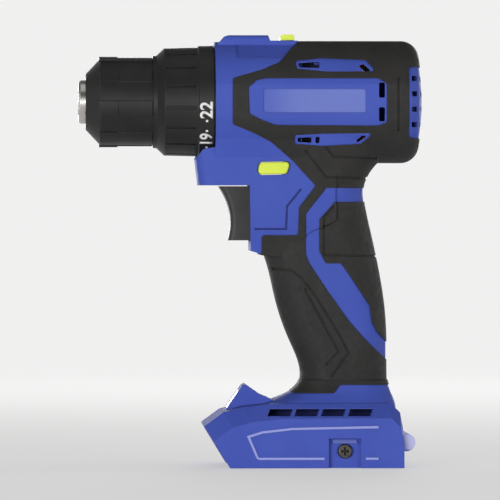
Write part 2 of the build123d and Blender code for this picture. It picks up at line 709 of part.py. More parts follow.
with BuildPart() as jaw:
    with BuildSketch(jaw_plane(-1)):
        Circle(JAW_R)
    extrude(amount=JAW_LENGTH + 1)
    # squared tip, gripping face, and the two flats that meet the other jaws when closed
    with Locations((JAW_TIP_X - 10, 0, AXIS_Z)):
        Box(20, 60, 60, mode=Mode.SUBTRACT)
    with BuildSketch(cross(JAW_TIP_X - 5)):
        apex = JAW_TRAVEL * math.sin(JAW_LEAN) + 0.15
        edge = apex + 40 / math.tan(math.pi / 3)
        with BuildLine():
            Polyline((GRIP_FACE_R - apex, GRIP_FACE_R), (40, edge), (40, 60), (-40, 60), (-40, edge),
                     (apex - GRIP_FACE_R, GRIP_FACE_R), close=True)
        make_face()
    extrude(amount=60, mode=Mode.INTERSECT)

with BuildPart() as jaw_ways:
    with BuildSketch(jaw_plane(-20)):
        Circle(JAW_R + JAW_GAP)
    extrude(amount=20 + JAW_LENGTH + 0.6)

with BuildPart() as chuck_jaw_1:
    add(jaw.part)
with BuildPart() as chuck_jaw_2:
    add(jaw.part.rotate(SPINDLE, 120))
with BuildPart() as chuck_jaw_3:
    add(jaw.part.rotate(SPINDLE, 240))

with BuildPart() as chuck_body:
    add(turned((
        (NOSE_X, CHUCK_BORE_R), (NOSE_X, NOSE_R - 0.9), (NOSE_X + 0.9, NOSE_R),
        (CHUCK_NUT_REAR_X + 0.3, NOSE_R), (CHUCK_NUT_REAR_X + 0.3, SLEEVE_IN_R - 0.25),
        (CHUCK_REAR_X - 1.6, SLEEVE_IN_R - 0.25), (CHUCK_REAR_X - 1.6, NOSE_TUBE_R - 0.4),
        (CHUCK_REAR_X, NOSE_TUBE_R - 0.4), (CHUCK_REAR_X, SPINDLE_R), (CHUCK_SEAT_X + 2, SPINDLE_R),
        (CHUCK_SEAT_X + 2, SPINDLE_R / 2 + FIT), (CHUCK_SEAT_X, SPINDLE_R / 2 + FIT),
        (CHUCK_SEAT_X, CHUCK_SCREW_R + 0.3), (CHUCK_BORE_X, CHUCK_SCREW_R + 0.3),
        (CHUCK_BORE_X, CHUCK_BORE_R))))
    add([jaw_ways.part.rotate(SPINDLE, turn) for turn in (0, 120, 240)], mode=Mode.SUBTRACT)

with BuildPart() as chuck_nut:
    add(turned((
        (CHUCK_NUT_FRONT_X, jaw_top(CHUCK_NUT_FRONT_X) + FIT), (CHUCK_NUT_FRONT_X, SLEEVE_IN_R - 0.02),
        (CHUCK_NUT_REAR_X, SLEEVE_IN_R - 0.02), (CHUCK_NUT_REAR_X, jaw_top(CHUCK_NUT_REAR_X) + FIT))))

with BuildPart() as chuck_ring:
    add(ring(CHUCK_REAR_X - 1.5, CHUCK_REAR_X - 0.3, SLEEVE_IN_R - 0.25, NOSE_TUBE_R - 0.38))

with BuildPart() as chuck_screw:
    add(ring(CHUCK_BORE_X + 0.2, CHUCK_SEAT_X, CHUCK_SCREW_R))
    add(ring(CHUCK_SEAT_X, CHUCK_SEAT_X + 9, SPINDLE_R / 2))
    with BuildSketch(cross(CHUCK_BORE_X + 0.2)):
        RegularPolygon(SPINDLE_R * 0.42, 6)
    extrude(amount=1.8, mode=Mode.SUBTRACT)

with BuildPart() as chuck_sleeve:
    rear = CHUCK_REAR_X + 0.1
    add(turned((
        (SLEEVE_FRONT_X, 0), (SLEEVE_FRONT_X, SLEEVE_FRONT_R - 0.6), (SLEEVE_FRONT_X + 0.6, SLEEVE_FRONT_R),
        (SLEEVE_CONE_X, SLEEVE_BASE_R), (rear - 0.8, SLEEVE_BASE_R), (rear, SLEEVE_BASE_R - 0.8), (rear, 0))))
    # tall pads at the front, low ribs behind them
    for start, end, radius in ((SLEEVE_CONE_X - 0.6, SLEEVE_CONE_X + 8.2, SLEEVE_R),
                               (SLEEVE_CONE_X + 7, rear - 1.2, (SLEEVE_R + SLEEVE_BASE_R) / 2)):
        with BuildSketch(cross(start)):
            with PolarLocations(SLEEVE_R - 2, SLEEVE_RIBS, start_angle=9):
                Rectangle(5, 0.33 * SLEEVE_R)
            Circle(radius, mode=Mode.INTERSECT)
        extrude(amount=end - start)
    mouth_r = jaw_top(SLEEVE_FRONT_X) + 0.5
    add(turned((
        (SLEEVE_FRONT_X - 1, 0), (SLEEVE_FRONT_X - 1, mouth_r), (SLEEVE_FRONT_X, mouth_r),
        (CHUCK_NUT_FRONT_X - 3.2, jaw_top(CHUCK_NUT_FRONT_X - 3.2) + 0.5),
        (CHUCK_NUT_FRONT_X - 0.2, SLEEVE_IN_R - 3), (CHUCK_NUT_FRONT_X - 0.2, SLEEVE_IN_R),
        (rear + 1, SLEEVE_IN_R), (rear + 1, 0))), mode=Mode.SUBTRACT)

# Torque collar, and the clutch under it

COLLAR_SEAT_X = COLLAR_FRONT_X + 2.6
NOSE_TUBE_X = CHUCK_REAR_X + 0.5

with BuildPart() as torque_collar:
    band_x = COLLAR_REAR_X - 7.2
    add(turned((
        (COLLAR_FRONT_X, NOSE_TUBE_R + 4.3), (COLLAR_FRONT_X, COLLAR_LIP_R - 0.7),
        (COLLAR_FRONT_X - COLLAR_LIP_L, COLLAR_LIP_R - 0.7), (COLLAR_FRONT_X - COLLAR_LIP_L, COLLAR_LIP_R),
        (COLLAR_FRONT_X + 0.2, COLLAR_LIP_R + 0.1), (COLLAR_FRONT_X + 3.9, COLLAR_FRONT_R),
        (band_x - 0.6, COLLAR_FRONT_R + 0.4), (band_x, COLLAR_R - 0.2), (COLLAR_REAR_X - 0.4, COLLAR_R),
        (COLLAR_REAR_X, COLLAR_R - 0.4), (COLLAR_REAR_X, COLLAR_IN_R), (COLLAR_SEAT_X, COLLAR_IN_R),
        (COLLAR_SEAT_X, NOSE_TUBE_R + 0.08), (COLLAR_FRONT_X + 1.0, NOSE_TUBE_R + 0.08),
        (COLLAR_FRONT_X + 1.0, NOSE_TUBE_R + 4.3))))
    with BuildSketch(cross(COLLAR_FRONT_X + 4.6)):
        with PolarLocations(COLLAR_FRONT_R + 0.4, COLLAR_FLUTES, start_angle=180 + 6.6):
            Rectangle(1.8, 1.5)
    extrude(amount=band_x - 1.6 - COLLAR_FRONT_X - 4.6, mode=Mode.SUBTRACT)

with BuildPart() as collar_ring:
    add(ring(COLLAR_FRONT_X + 0.15, COLLAR_FRONT_X + 0.9, NOSE_TUBE_R + 3.1, NOSE_TUBE_R - 0.65))

WASHER_X = CASE_FRONT_X - AXIAL_GAP - CLUTCH_WASHER_T

with BuildPart() as clutch_nut:
    add(ring(CLUTCH_NUT_X, CLUTCH_NUT_X + CLUTCH_NUT_T, COLLAR_IN_R - 0.15, NOSE_TUBE_R + 0.15))

with BuildPart() as clutch_spring:
    spring_l = WASHER_X - CLUTCH_NUT_X - CLUTCH_NUT_T - 2 * CLUTCH_WIRE_R - FIT
    with BuildLine() as coil:
        Helix(spring_l / CLUTCH_TURNS, spring_l, CLUTCH_COIL_R,
              center=(CLUTCH_NUT_X + CLUTCH_NUT_T + CLUTCH_WIRE_R + FIT / 2, 0, AXIS_Z), direction=(1, 0, 0))
    with BuildSketch(Plane(origin=coil.line @ 0, z_dir=coil.line % 0)):
        Circle(CLUTCH_WIRE_R)
    sweep(path=coil.line, is_frenet=True)

with BuildPart() as clutch_washer:
    add(ring(WASHER_X, WASHER_X + CLUTCH_WASHER_T, COLLAR_IN_R - 0.8, NOSE_TUBE_R + 0.2))

with BuildPart() as clutch_balls:
    with Locations(cross(WASHER_X + CLUTCH_WASHER_T + CLUTCH_BALL_R)):
        with PolarLocations(CLUTCH_COIL_R, CLUTCH_BALLS):
            Sphere(CLUTCH_BALL_R)

# Gear case with the nose tube that carries the spindle and the collar

BUSH_X = CASE_FRONT_X - 5.4
NOSE_BEARING_X = CHUCK_REAR_X + 1.2

# Stations of the three stages, from the front plate to the rear
CARRIER_3_X = CASE_FRONT_X + CASE_PLATE_T + AXIAL_GAP
STAGE_3_X = CARRIER_3_X + PLATE_T + AXIAL_GAP
CARRIER_2_X = STAGE_3_X + STAGE_W + 1.2
STAGE_2_X = CARRIER_2_X + CARRIER_2_T + AXIAL_GAP
CARRIER_1_X = STAGE_2_X + STAGE_W + AXIAL_GAP
STAGE_1_X = CARRIER_1_X + PLATE_T + AXIAL_GAP
RING_2_X = STAGE_3_X + STAGE_W + 0.4 + SHIFT
RING_2_L = CARRIER_1_X + PLATE_T - 0.2 - RING_2_X
FORK_X = RING_2_X + RING_2_L / 2
FORK_R = CASE_R + SLIDE_GAP + FORK_WIRE_R
RING_R = CASE_IN_R - FIT
RING_GROOVE_R = RING_R - 1.0

with BuildPart() as gear_case:
    add(turned((
        (NOSE_TUBE_X, NOSE_BEARING_R + FIT), (NOSE_TUBE_X, NOSE_TUBE_R), (COLLAR_FRONT_X + 0.1, NOSE_TUBE_R),
        (COLLAR_FRONT_X + 0.1, NOSE_TUBE_R - 0.7), (COLLAR_FRONT_X + 0.95, NOSE_TUBE_R - 0.7),
        (COLLAR_FRONT_X + 0.95, NOSE_TUBE_R), (CASE_FRONT_X, NOSE_TUBE_R), (CASE_FRONT_X, COLLAR_IN_R - 0.4),
        (BARREL_FRONT_X - 0.3, COLLAR_IN_R - 0.4), (BARREL_FRONT_X - 0.3, CASE_R), (CASE_REAR_X, CASE_R),
        (CASE_REAR_X, CASE_IN_R), (CASE_FRONT_X + CASE_PLATE_T, CASE_IN_R),
        (CASE_FRONT_X + CASE_PLATE_T, BUSH_R + FIT), (BUSH_X, BUSH_R + FIT), (BUSH_X, BUSH_R - 1.2),
        (NOSE_BEARING_X + NOSE_BEARING_W + FIT, BUSH_R - 1.2),
        (NOSE_BEARING_X + NOSE_BEARING_W + FIT, NOSE_BEARING_R + FIT))))
    with BuildSketch(cross(CASE_FRONT_X - 1)):
        with PolarLocations(CLUTCH_COIL_R, CLUTCH_BALLS):
            Circle(CLUTCH_BALL_R + FIT)
    extrude(amount=CASE_PLATE_T + 2, mode=Mode.SUBTRACT)
    # slots for the shift fork
    with Locations((FORK_X - SHIFT / 2, 0, AXIS_Z)):
        Box(SHIFT + 2 * FORK_WIRE_R + 1.0, 2 * CASE_R + 4, 2 * FORK_WIRE_R + 0.8, mode=Mode.SUBTRACT)

with BuildPart() as spindle_bearings:
    add(ring(NOSE_BEARING_X, NOSE_BEARING_X + NOSE_BEARING_W, NOSE_BEARING_R, SPINDLE_R + 0.05))
    add(ring(BUSH_X + FIT, CASE_FRONT_X + CASE_PLATE_T - FIT, BUSH_R, SPINDLE_R + 0.05))

with BuildPart() as spindle:
    add(turned((
        (CHUCK_SEAT_X + 2.1, SPINDLE_R / 2 + 0.02), (CHUCK_SEAT_X + 2.1, SPINDLE_R - 0.02),
        (CHUCK_REAR_X, SPINDLE_R - 0.02), (CHUCK_REAR_X, SPINDLE_R + 1.5),
        (NOSE_BEARING_X - AXIAL_GAP, SPINDLE_R + 1.5), (NOSE_BEARING_X - AXIAL_GAP, SPINDLE_R),
        (CARRIER_3_X + PLATE_T, SPINDLE_R), (CARRIER_3_X + PLATE_T, 0), (CHUCK_SEAT_X + 11, 0),
        (CHUCK_SEAT_X + 11, SPINDLE_R / 2 + 0.02))))
    for side in (-1, 1):
        with Locations((CARRIER_3_X + PLATE_T / 2, side * (SPINDLE_FLATS / 2 + 5), AXIS_Z)):
            Box(PLATE_T + 0.2, 10, 20, mode=Mode.SUBTRACT)


def involute(angle):
    return math.tan(angle) - angle


def gear_points(teeth, inner, outer, thickness, turn):
    """Straight-flanked tooth outline with its corners on the involute."""
    pitch = MODULE * teeth / 2
    base = pitch * math.cos(PRESSURE)
    points = []
    for tooth in range(teeth):
        centre = turn + 2 * math.pi * tooth / teeth
        for radius, hand in ((inner, -1), (outer, -1), (outer, 1), (inner, 1)):
            lean = math.acos(min(1.0, base / radius))
            half = thickness / (2 * pitch) + involute(PRESSURE) - involute(lean)
            points.append((radius * math.cos(centre + hand * half), radius * math.sin(centre + hand * half)))
    return points


TOOTH = math.pi * MODULE / 2
ORBIT_R = MODULE * (SUN_TEETH + PLANET_TEETH) / 2
ORBIT_START = 90.0
RING_PITCH_R = MODULE * RING_TEETH / 2
CARRIER_R = ORBIT_R + 2.1 * PIN_R


def planet_turn(place):
    """Turn of a planet so that it meshes with a sun whose first tooth lies at zero."""
    mesh = 0.5 - SUN_TEETH * place / (2 * math.pi)
    return place + math.pi - 2 * math.pi / PLANET_TEETH * mesh


def ring_turn():
    """Turn of the ring's tooth spaces so that they mesh with the first planet."""
    place = math.radians(ORBIT_START)
    phase = PLANET_TEETH * (place - planet_turn(place)) / (2 * math.pi) - 0.5
    return place - 2 * math.pi * phase / RING_TEETH + math.pi / RING_TEETH


def external_gear(x0, x1, teeth, turn=0.0, bore=0.0, centre=(0.0, 0.0)):
    """Spur gear between two stations, its centre given across the spindle."""
    pitch = MODULE * teeth / 2
    plane = Plane(origin=(x0, centre[0], AXIS_Z + centre[1]), x_dir=(0, 1, 0), z_dir=(1, 0, 0))
    points = gear_points(teeth, pitch - DEDENDUM, pitch + ADDENDUM, TOOTH - BACKLASH, turn)
    with BuildPart() as gear:
        with BuildSketch(plane):
            with BuildLine():
                Polyline(*points, close=True)
            make_face()
            if bore:
                Circle(bore, mode=Mode.SUBTRACT)
        extrude(amount=x1 - x0)
    return gear.part


def ring_gear(x0, x1):
    """Internal gear that fits the case."""
    spaces = gear_points(RING_TEETH, RING_PITCH_R - ADDENDUM, RING_PITCH_R + DEDENDUM,
                         TOOTH + 2 * BACKLASH, ring_turn())
    with BuildPart() as gear:
        with BuildSketch(cross(x0)):
            Circle(RING_R)
            with BuildLine():
                Polyline(*spaces, close=True)
            make_face(mode=Mode.SUBTRACT)
        extrude(amount=x1 - x0)
    return gear.part


def orbit(index):
    """Angle and centre of a planet."""
    angle = math.radians(ORBIT_START + 360.0 * index / PLANETS)
    return angle, (ORBIT_R * math.cos(angle), ORBIT_R * math.sin(angle))


def planet(x0, index):
    angle, centre = orbit(index)
    return external_gear(x0, x0 + STAGE_W, PLANET_TEETH, planet_turn(angle), PIN_R + 0.05, centre)


def planet_pins(x0, x1):
    """The three pins that a carrier holds."""
    with BuildPart() as pins:
        with BuildSketch(cross(x0)):
            with PolarLocations(ORBIT_R, PLANETS, start_angle=ORBIT_START):
                Circle(PIN_R)
        extrude(amount=x1 - x0)
    return pins.part


def carrier_plate(x0, thickness):
    """Plain carrier plate with its pin holes."""
    with BuildPart() as plate:
        with BuildSketch(cross(x0)):
            Circle(CARRIER_R)
            with PolarLocations(ORBIT_R, PLANETS, start_angle=ORBIT_START):
                Circle(PIN_R + 0.01, mode=Mode.SUBTRACT)
        extrude(amount=thickness)
    return plate.part


with BuildPart() as ring_gear_1:
    add(ring_gear(STAGE_1_X + 0.2, CASE_REAR_X - 0.1))

with BuildPart() as ring_gear_2:
    add(ring_gear(RING_2_X, RING_2_X + RING_2_L))
    track_half = FORK_WIRE_R + 0.4
    add(ring(FORK_X - track_half, FORK_X + track_half, RING_R + 1, RING_GROOVE_R), mode=Mode.SUBTRACT)

with BuildPart() as ring_gear_3:
    add(ring_gear(CARRIER_3_X, STAGE_3_X + STAGE_W + 0.1))

with BuildPart() as carrier_1:
    dogs = gear_points(RING_TEETH, RING_PITCH_R - ADDENDUM - 0.4, RING_PITCH_R + DEDENDUM - 0.4,
                       TOOTH - 2 * BACKLASH, ring_turn())
    with BuildSketch(cross(CARRIER_1_X)):
        with BuildLine():
            Polyline(*dogs, close=True)
        make_face()
        with PolarLocations(ORBIT_R, PLANETS, start_angle=ORBIT_START):
            Circle(PIN_R + 0.01, mode=Mode.SUBTRACT)
    extrude(amount=PLATE_T)
    add(external_gear(STAGE_2_X + 0.1, CARRIER_1_X, SUN_TEETH))

with BuildPart() as carrier_2:
    add(carrier_plate(CARRIER_2_X, CARRIER_2_T))
    add(external_gear(STAGE_3_X + 0.1, CARRIER_2_X, SUN_TEETH))

with BuildPart() as carrier_3:
    add(carrier_plate(CARRIER_3_X, PLATE_T))
    with BuildSketch(cross(CARRIER_3_X)):
        Circle(SPINDLE_R + 0.02)
        Rectangle(SPINDLE_FLATS + 0.04, 4 * SPINDLE_R, mode=Mode.INTERSECT)
    extrude(amount=PLATE_T, mode=Mode.SUBTRACT)

with BuildPart() as planet_1a:
    add(planet(STAGE_1_X, 0))
with BuildPart() as planet_1b:
    add(planet(STAGE_1_X, 1))
with BuildPart() as planet_1c:
    add(planet(STAGE_1_X, 2))
with BuildPart() as planets_2:
    for number in range(PLANETS):
        add(planet(STAGE_2_X, number))
with BuildPart() as planet_3a:
    add(planet(STAGE_3_X, 0))
with BuildPart() as planet_3b:
    add(planet(STAGE_3_X, 1))
with BuildPart() as planet_3c:
    add(planet(STAGE_3_X, 2))

with BuildPart() as planet_pins_12:
    add(planet_pins(CARRIER_1_X, STAGE_1_X + STAGE_W - 0.1))
    add(planet_pins(CARRIER_2_X, STAGE_2_X + STAGE_W - 0.1))
with BuildPart() as planet_pins_3:
    add(planet_pins(CARRIER_3_X, STAGE_3_X + STAGE_W - 0.1))

with BuildPart() as shift_fork:
    with BuildLine(cross(FORK_X)) as bow:
        CenterArc((0, 0), FORK_R, 0, 180)
    with BuildSketch(Plane(origin=bow.line @ 0, z_dir=bow.line % 0)):
        Circle(FORK_WIRE_R)
    sweep(path=bow.line)
    for side in (-1, 1):
        with BuildSketch(Plane(origin=(FORK_X, side * FORK_R, AXIS_Z), x_dir=(1, 0, 0), z_dir=(0, -side, 0))):
            Circle(FORK_WIRE_R)
        extrude(amount=FORK_R - RING_GROOVE_R - 0.3)
        with Locations((FORK_X, side * FORK_R, AXIS_Z)):
            Sphere(FORK_WIRE_R)

# Motor

with BuildPart() as motor_plate:
    face_x = CASE_REAR_X + PLATE_T
    add(turned((
        (CASE_REAR_X, SHAFT_R + 0.8), (CASE_REAR_X, CASE_R), (face_x, CASE_R), (face_x, BEARING_R + 2.2),
        (face_x + BEARING_W, BEARING_R + 2.2), (face_x + BEARING_W, BEARING_R + FIT),
        (face_x, BEARING_R + FIT), (face_x, SHAFT_R + 0.8))))

with BuildPart() as motor_bearings:
    add(ring(CASE_REAR_X + PLATE_T + FIT, CASE_REAR_X + PLATE_T + BEARING_W, BEARING_R, SHAFT_R + 0.05))
    add(ring(REAR_BEARING_X + FIT, REAR_BEARING_X + BEARING_W, BEARING_R, SHAFT_R + 0.05))

with BuildPart() as motor_shaft:
    add(ring(STAGE_1_X + 0.2, REAR_BEARING_X + BEARING_W, SHAFT_R))

with BuildPart() as motor_pinion:
    add(external_gear(STAGE_1_X + 0.2, STAGE_1_X + STAGE_W, SUN_TEETH, bore=SHAFT_R + 0.01))

with BuildPart() as motor_rotor:
    add(ring(STATOR_X, STATOR_X + STATOR_L, STATOR_IN_R - AIR_GAP, SHAFT_R + 0.01))

YOKE_IN_R = STATOR_R - YOKE_T

with BuildPart() as motor_stator:
    with BuildSketch(cross(STATOR_X)):
        Circle(STATOR_R)
        Circle(YOKE_IN_R, mode=Mode.SUBTRACT)
        with PolarLocations((STATOR_IN_R + YOKE_IN_R) / 2 + 0.4, STATOR_TEETH, start_angle=30):
            Rectangle(YOKE_IN_R - STATOR_IN_R + 0.8, TOOTH_W)
        Circle(STATOR_IN_R, mode=Mode.SUBTRACT)
    extrude(amount=STATOR_L)

with BuildPart() as motor_coils:
    coil_in = STATOR_IN_R + 1.2
    coil_out = YOKE_IN_R - 0.7
    with BuildSketch(cross(STATOR_X - COIL_OVER)):
        with PolarLocations((coil_in + coil_out) / 2, STATOR_TEETH, start_angle=30):
            Rectangle(coil_out - coil_in, TOOTH_W + 2 * COIL_T)
    extrude(amount=STATOR_L + 2 * COIL_OVER)
    with BuildSketch(cross(STATOR_X - FIT)):
        with PolarLocations((coil_in + coil_out) / 2, STATOR_TEETH, start_angle=30):
            Rectangle(coil_out - coil_in + 4, TOOTH_W + FIT)
    extrude(amount=STATOR_L + 2 * FIT, mode=Mode.SUBTRACT)

with BuildPart() as motor_fan:
    fan_x = CASE_REAR_X + PLATE_T + BEARING_W + 0.8
    add(ring(fan_x, fan_x + 1.2, FAN_R))
    add(ring(fan_x, fan_x + 5.6, 6.0))
    with BuildSketch(cross(fan_x + 1.2)):
        with PolarLocations((FAN_R + 6) / 2 - 0.4, 9):
            Rectangle(FAN_R - 6, 1.2)
    extrude(amount=5.2)
    add(ring(fan_x - 1, fan_x + 7, SHAFT_R + 0.01), mode=Mode.SUBTRACT)

with BuildPart() as sensor_board:
    board_x = STATOR_X + STATOR_L + COIL_OVER + FIT
    add(ring(board_x, board_x + 1.6, STATOR_R - 1.5, 6.0))

# Controls

with BuildPart() as trigger:
    with BuildSketch(SIDE):
        with BuildLine():
            Polyline((-15.2, TRIGGER_TOP), (4.5, TRIGGER_TOP), (4.5, TRIGGER_LOW), (-11.0, TRIGGER_LOW))
            ThreePointArc((-11.0, TRIGGER_LOW), (-9.7, TRIGGER_LOW + 10), (-15.2, TRIGGER_TOP))
        make_face()
    extrude(amount=TRIGGER_HALF, both=True)
    fillet(trigger.edges().filter_by(GeomType.CIRCLE), 2.5)
    # stop flange behind the front wall, and the stem that works the switch
    with Locations((3.8, 0, AXIS_Z + (TRIGGER_TOP + TRIGGER_LOW) / 2)):
        Box(2.2, 2 * TRIGGER_HALF + 2.8, TRIGGER_TOP - TRIGGER_LOW + 2.0)
    with BuildSketch(cross(4.0)):
        with Locations((0, (SWITCH_TOP + SWITCH_LOW) / 2)):
            Circle(2.5)
    extrude(amount=SWITCH_X + 3 - 4.0)

with BuildPart() as direction_button:
    with BuildSketch(SIDE) as button_face:
        with BuildLine():
            Polyline(*BUTTON_OUTLINE, close=True)
        make_face()
        fillet(button_face.vertices(), BUTTON_ROUND)
        offset(amount=-SLIDE_GAP, kind=Kind.INTERSECTION, mode=Mode.REPLACE)
    extrude(amount=BODY_HALF + BUTTON_PROUD, both=True)
    chamfer(direction_button.faces().filter_by(Axis.Y).edges(), 0.5)

with BuildPart() as gear_selector:
    plate_x0 = FORK_X - 2.0
    stem_x0 = KNOB_X - KNOB_L / 2
    plate_x1 = stem_x0 + STEM_L
    upright = (Align.CENTER, Align.CENTER, Align.MIN)
    with Locations(((plate_x0 + plate_x1) / 2, 0, AXIS_Z + FORK_R)):
        Box(plate_x1 - plate_x0, 2 * SELECTOR_HALF, SELECTOR_ROOF - SLIDE_GAP - FORK_R, align=upright)
    with Locations((stem_x0 + STEM_L / 2, 0, AXIS_Z + FORK_R + 1)):
        Box(STEM_L, 2 * (SLOT_HALF - SLIDE_GAP), SELECTOR_FLOOR - FORK_R, align=upright)
    with Locations((KNOB_X, 0, AXIS_Z + SELECTOR_FLOOR + 0.2)):
        Box(KNOB_L, KNOB_W, DECK_TOP - SELECTOR_FLOOR + 0.1, align=upright)
    fillet(gear_selector.edges().filter_by(Axis.Y).group_by(Axis.Z)[-1], 1.0)
    # groove that holds the bow of the fork
    groove_r = FORK_WIRE_R + FIT / 2
    add(ring(FORK_X - groove_r, FORK_X + groove_r, FORK_R + groove_r, FORK_R - groove_r), mode=Mode.SUBTRACT)

# Electrics

with BuildPart() as switch_module:
    with Locations((SWITCH_X + SWITCH_L / 2, 0, AXIS_Z + (SWITCH_TOP + SWITCH_LOW) / 2)):
        Box(SWITCH_L, 2 * SWITCH_HALF, SWITCH_TOP - SWITCH_LOW)
    with BuildSketch(cross(SWITCH_X - 1)):
        with Locations((0, (SWITCH_TOP + SWITCH_LOW) / 2)):
            Circle(2.5 + FIT)
    extrude(amount=1 + 3 + TRIGGER_TRAVEL + 1, mode=Mode.SUBTRACT)

with BuildPart() as control_board:
    with Locations((BOARD_X, 0, DOCK_H + WALL + FIT + BOARD_T / 2)):
        Box(BOARD_L, 2 * BOARD_HALF, BOARD_T)

with BuildPart() as terminal_block:
    with Locations((TERMINAL_X, 0, DOCK_H + (WALL - 2.2) / 2)):
        Box(TERMINAL_L, 2 * TERMINAL_HALF, WALL + 2.2)
    with Locations((TERMINAL_X, 0, DOCK_H - 1.2)):
        Box(TERMINAL_L + 3, 2 * TERMINAL_HALF + 3, 2.0)

with BuildPart() as terminal_blades:
    with Locations([(TERMINAL_X - 1, y, DOCK_H - 2.2 - 2.75) for y in (-11, -4, 4, 11)]):
        Box(13, 0.8, 5.5)


def lead(x0, y, z0, x1, z1):
    """One lead up the handle, with a slack bend at each end."""
    with BuildPart() as wire:
        with BuildLine() as route:
            FilletPolyline((x0, y, z0), (x0, y, z0 + 12), (x1, y, z1 - 12), (x1, y, z1), radius=8)
        with BuildSketch(Plane(origin=route.line @ 0, z_dir=route.line % 0)):
            Circle(LEAD_R)
        sweep(path=route.line)
    return wire.part


with BuildPart() as battery_leads:
    for y in (-4, 4):
        add(lead(33, y, BOARD_TOP, 30.5, AXIS_Z + SWITCH_LOW))

with BuildPart() as motor_leads:
    for y in (-5, 0, 5):
        add(lead(48, y, BOARD_TOP, 42.5, AXIS_Z - STATOR_R - 0.6))

with BuildPart() as led_lens:
    with BuildSketch(LENS_PLANE):
        RectangleRounded(LENS_W, LENS_L, 0.6)
    extrude(amount=-LENS_T)

with BuildPart() as led_board:
    with BuildSketch(LENS_PLANE.offset(-LENS_T - LED_BOARD_T)):
        Rectangle(LENS_W - 2.2, LENS_L - 2.2)
    extrude(amount=LED_BOARD_T)

PIECES = {
    "housing_left": housing_left, "housing_right": housing_right, "grip_left": grip_left,
    "grip_right": grip_right, "housing_screws": housing_screws, "hook_screw": hook_screw,
    "hook_inserts": hook_inserts, "chuck_body": chuck_body, "chuck_sleeve": chuck_sleeve,
    "chuck_nut": chuck_nut, "chuck_ring": chuck_ring, "chuck_screw": chuck_screw,
    "chuck_jaw_1": chuck_jaw_1, "chuck_jaw_2": chuck_jaw_2, "chuck_jaw_3": chuck_jaw_3,
    "torque_collar": torque_collar, "collar_ring": collar_ring, "clutch_nut": clutch_nut,
    "clutch_spring": clutch_spring, "clutch_washer": clutch_washer, "clutch_balls": clutch_balls,
    "gear_case": gear_case, "spindle": spindle, "spindle_bearings": spindle_bearings,
    "ring_gear_1": ring_gear_1, "ring_gear_2": ring_gear_2, "ring_gear_3": ring_gear_3,
    "carrier_1": carrier_1, "carrier_2": carrier_2, "carrier_3": carrier_3, "planet_1a": planet_1a,
    "planet_1b": planet_1b, "planet_1c": planet_1c, "planets_2": planets_2, "planet_3a": planet_3a,
    "planet_3b": planet_3b, "planet_3c": planet_3c, "planet_pins_12": planet_pins_12,
    "planet_pins_3": planet_pins_3, "shift_fork": shift_fork, "motor_plate": motor_plate,
    "motor_bearings": motor_bearings, "motor_shaft": motor_shaft, "motor_pinion": motor_pinion,
    "motor_rotor": motor_rotor, "motor_stator": motor_stator, "motor_coils": motor_coils,
    "motor_fan": motor_fan, "sensor_board": sensor_board, "trigger": trigger,
    "direction_button": direction_button, "gear_selector": gear_selector,
    "switch_module": switch_module, "control_board": control_board, "terminal_block": terminal_block,
    "terminal_blades": terminal_blades, "battery_leads": battery_leads, "motor_leads": motor_leads,
    "led_lens": led_lens, "led_board": led_board}

os.makedirs("parts", exist_ok=True)
for label, piece in PIECES.items():
    piece.part.label = label
    export_step(piece.part, f"parts/{label}.step")
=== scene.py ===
import json
import math

import bmesh
import bpy
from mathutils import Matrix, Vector


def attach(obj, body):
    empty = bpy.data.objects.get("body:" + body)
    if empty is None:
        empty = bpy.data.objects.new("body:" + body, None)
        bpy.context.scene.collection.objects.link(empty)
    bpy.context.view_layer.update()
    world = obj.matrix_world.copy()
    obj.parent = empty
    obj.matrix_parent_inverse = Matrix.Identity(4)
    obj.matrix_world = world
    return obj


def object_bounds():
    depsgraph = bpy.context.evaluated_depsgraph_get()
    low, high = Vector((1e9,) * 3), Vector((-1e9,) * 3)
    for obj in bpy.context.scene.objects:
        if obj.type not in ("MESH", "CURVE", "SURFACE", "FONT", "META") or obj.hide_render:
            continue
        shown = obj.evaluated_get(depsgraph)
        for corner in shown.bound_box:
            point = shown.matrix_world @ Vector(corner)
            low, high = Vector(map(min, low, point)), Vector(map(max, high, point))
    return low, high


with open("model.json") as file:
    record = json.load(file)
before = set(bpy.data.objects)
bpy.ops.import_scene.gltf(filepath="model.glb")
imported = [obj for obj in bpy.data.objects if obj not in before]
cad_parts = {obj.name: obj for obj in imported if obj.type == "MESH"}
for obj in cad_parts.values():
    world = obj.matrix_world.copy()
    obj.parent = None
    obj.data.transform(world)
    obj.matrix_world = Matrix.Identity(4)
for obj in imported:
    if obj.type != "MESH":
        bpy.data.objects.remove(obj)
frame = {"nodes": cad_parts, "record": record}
cad_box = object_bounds()
nodes = frame["nodes"]
scene = bpy.context.scene

# Places on the solids, in metres

AXIS_Z = 0.1735  # spindle axis
DECK_TOP = AXIS_Z + 0.0318
COLLAR_BAND = ((-0.0247, 0.0267), (-0.0179, 0.0269))  # x and radius, front and rear
SCREWS = (  # x and z
    (-0.015, 0.140), (0.014, 0.102), (0.0498, 0.1175), (0.0248, 0.0615),
    (-0.002, 0.0175), (0.064, 0.0175), (0.066, 0.1945), (0.066, 0.1525))
SCREW_TOP_Y = 0.009
SEAM_Y = (0.00016, 0.000352)  # |y| where the joint line of the halves starts to fade, and ends
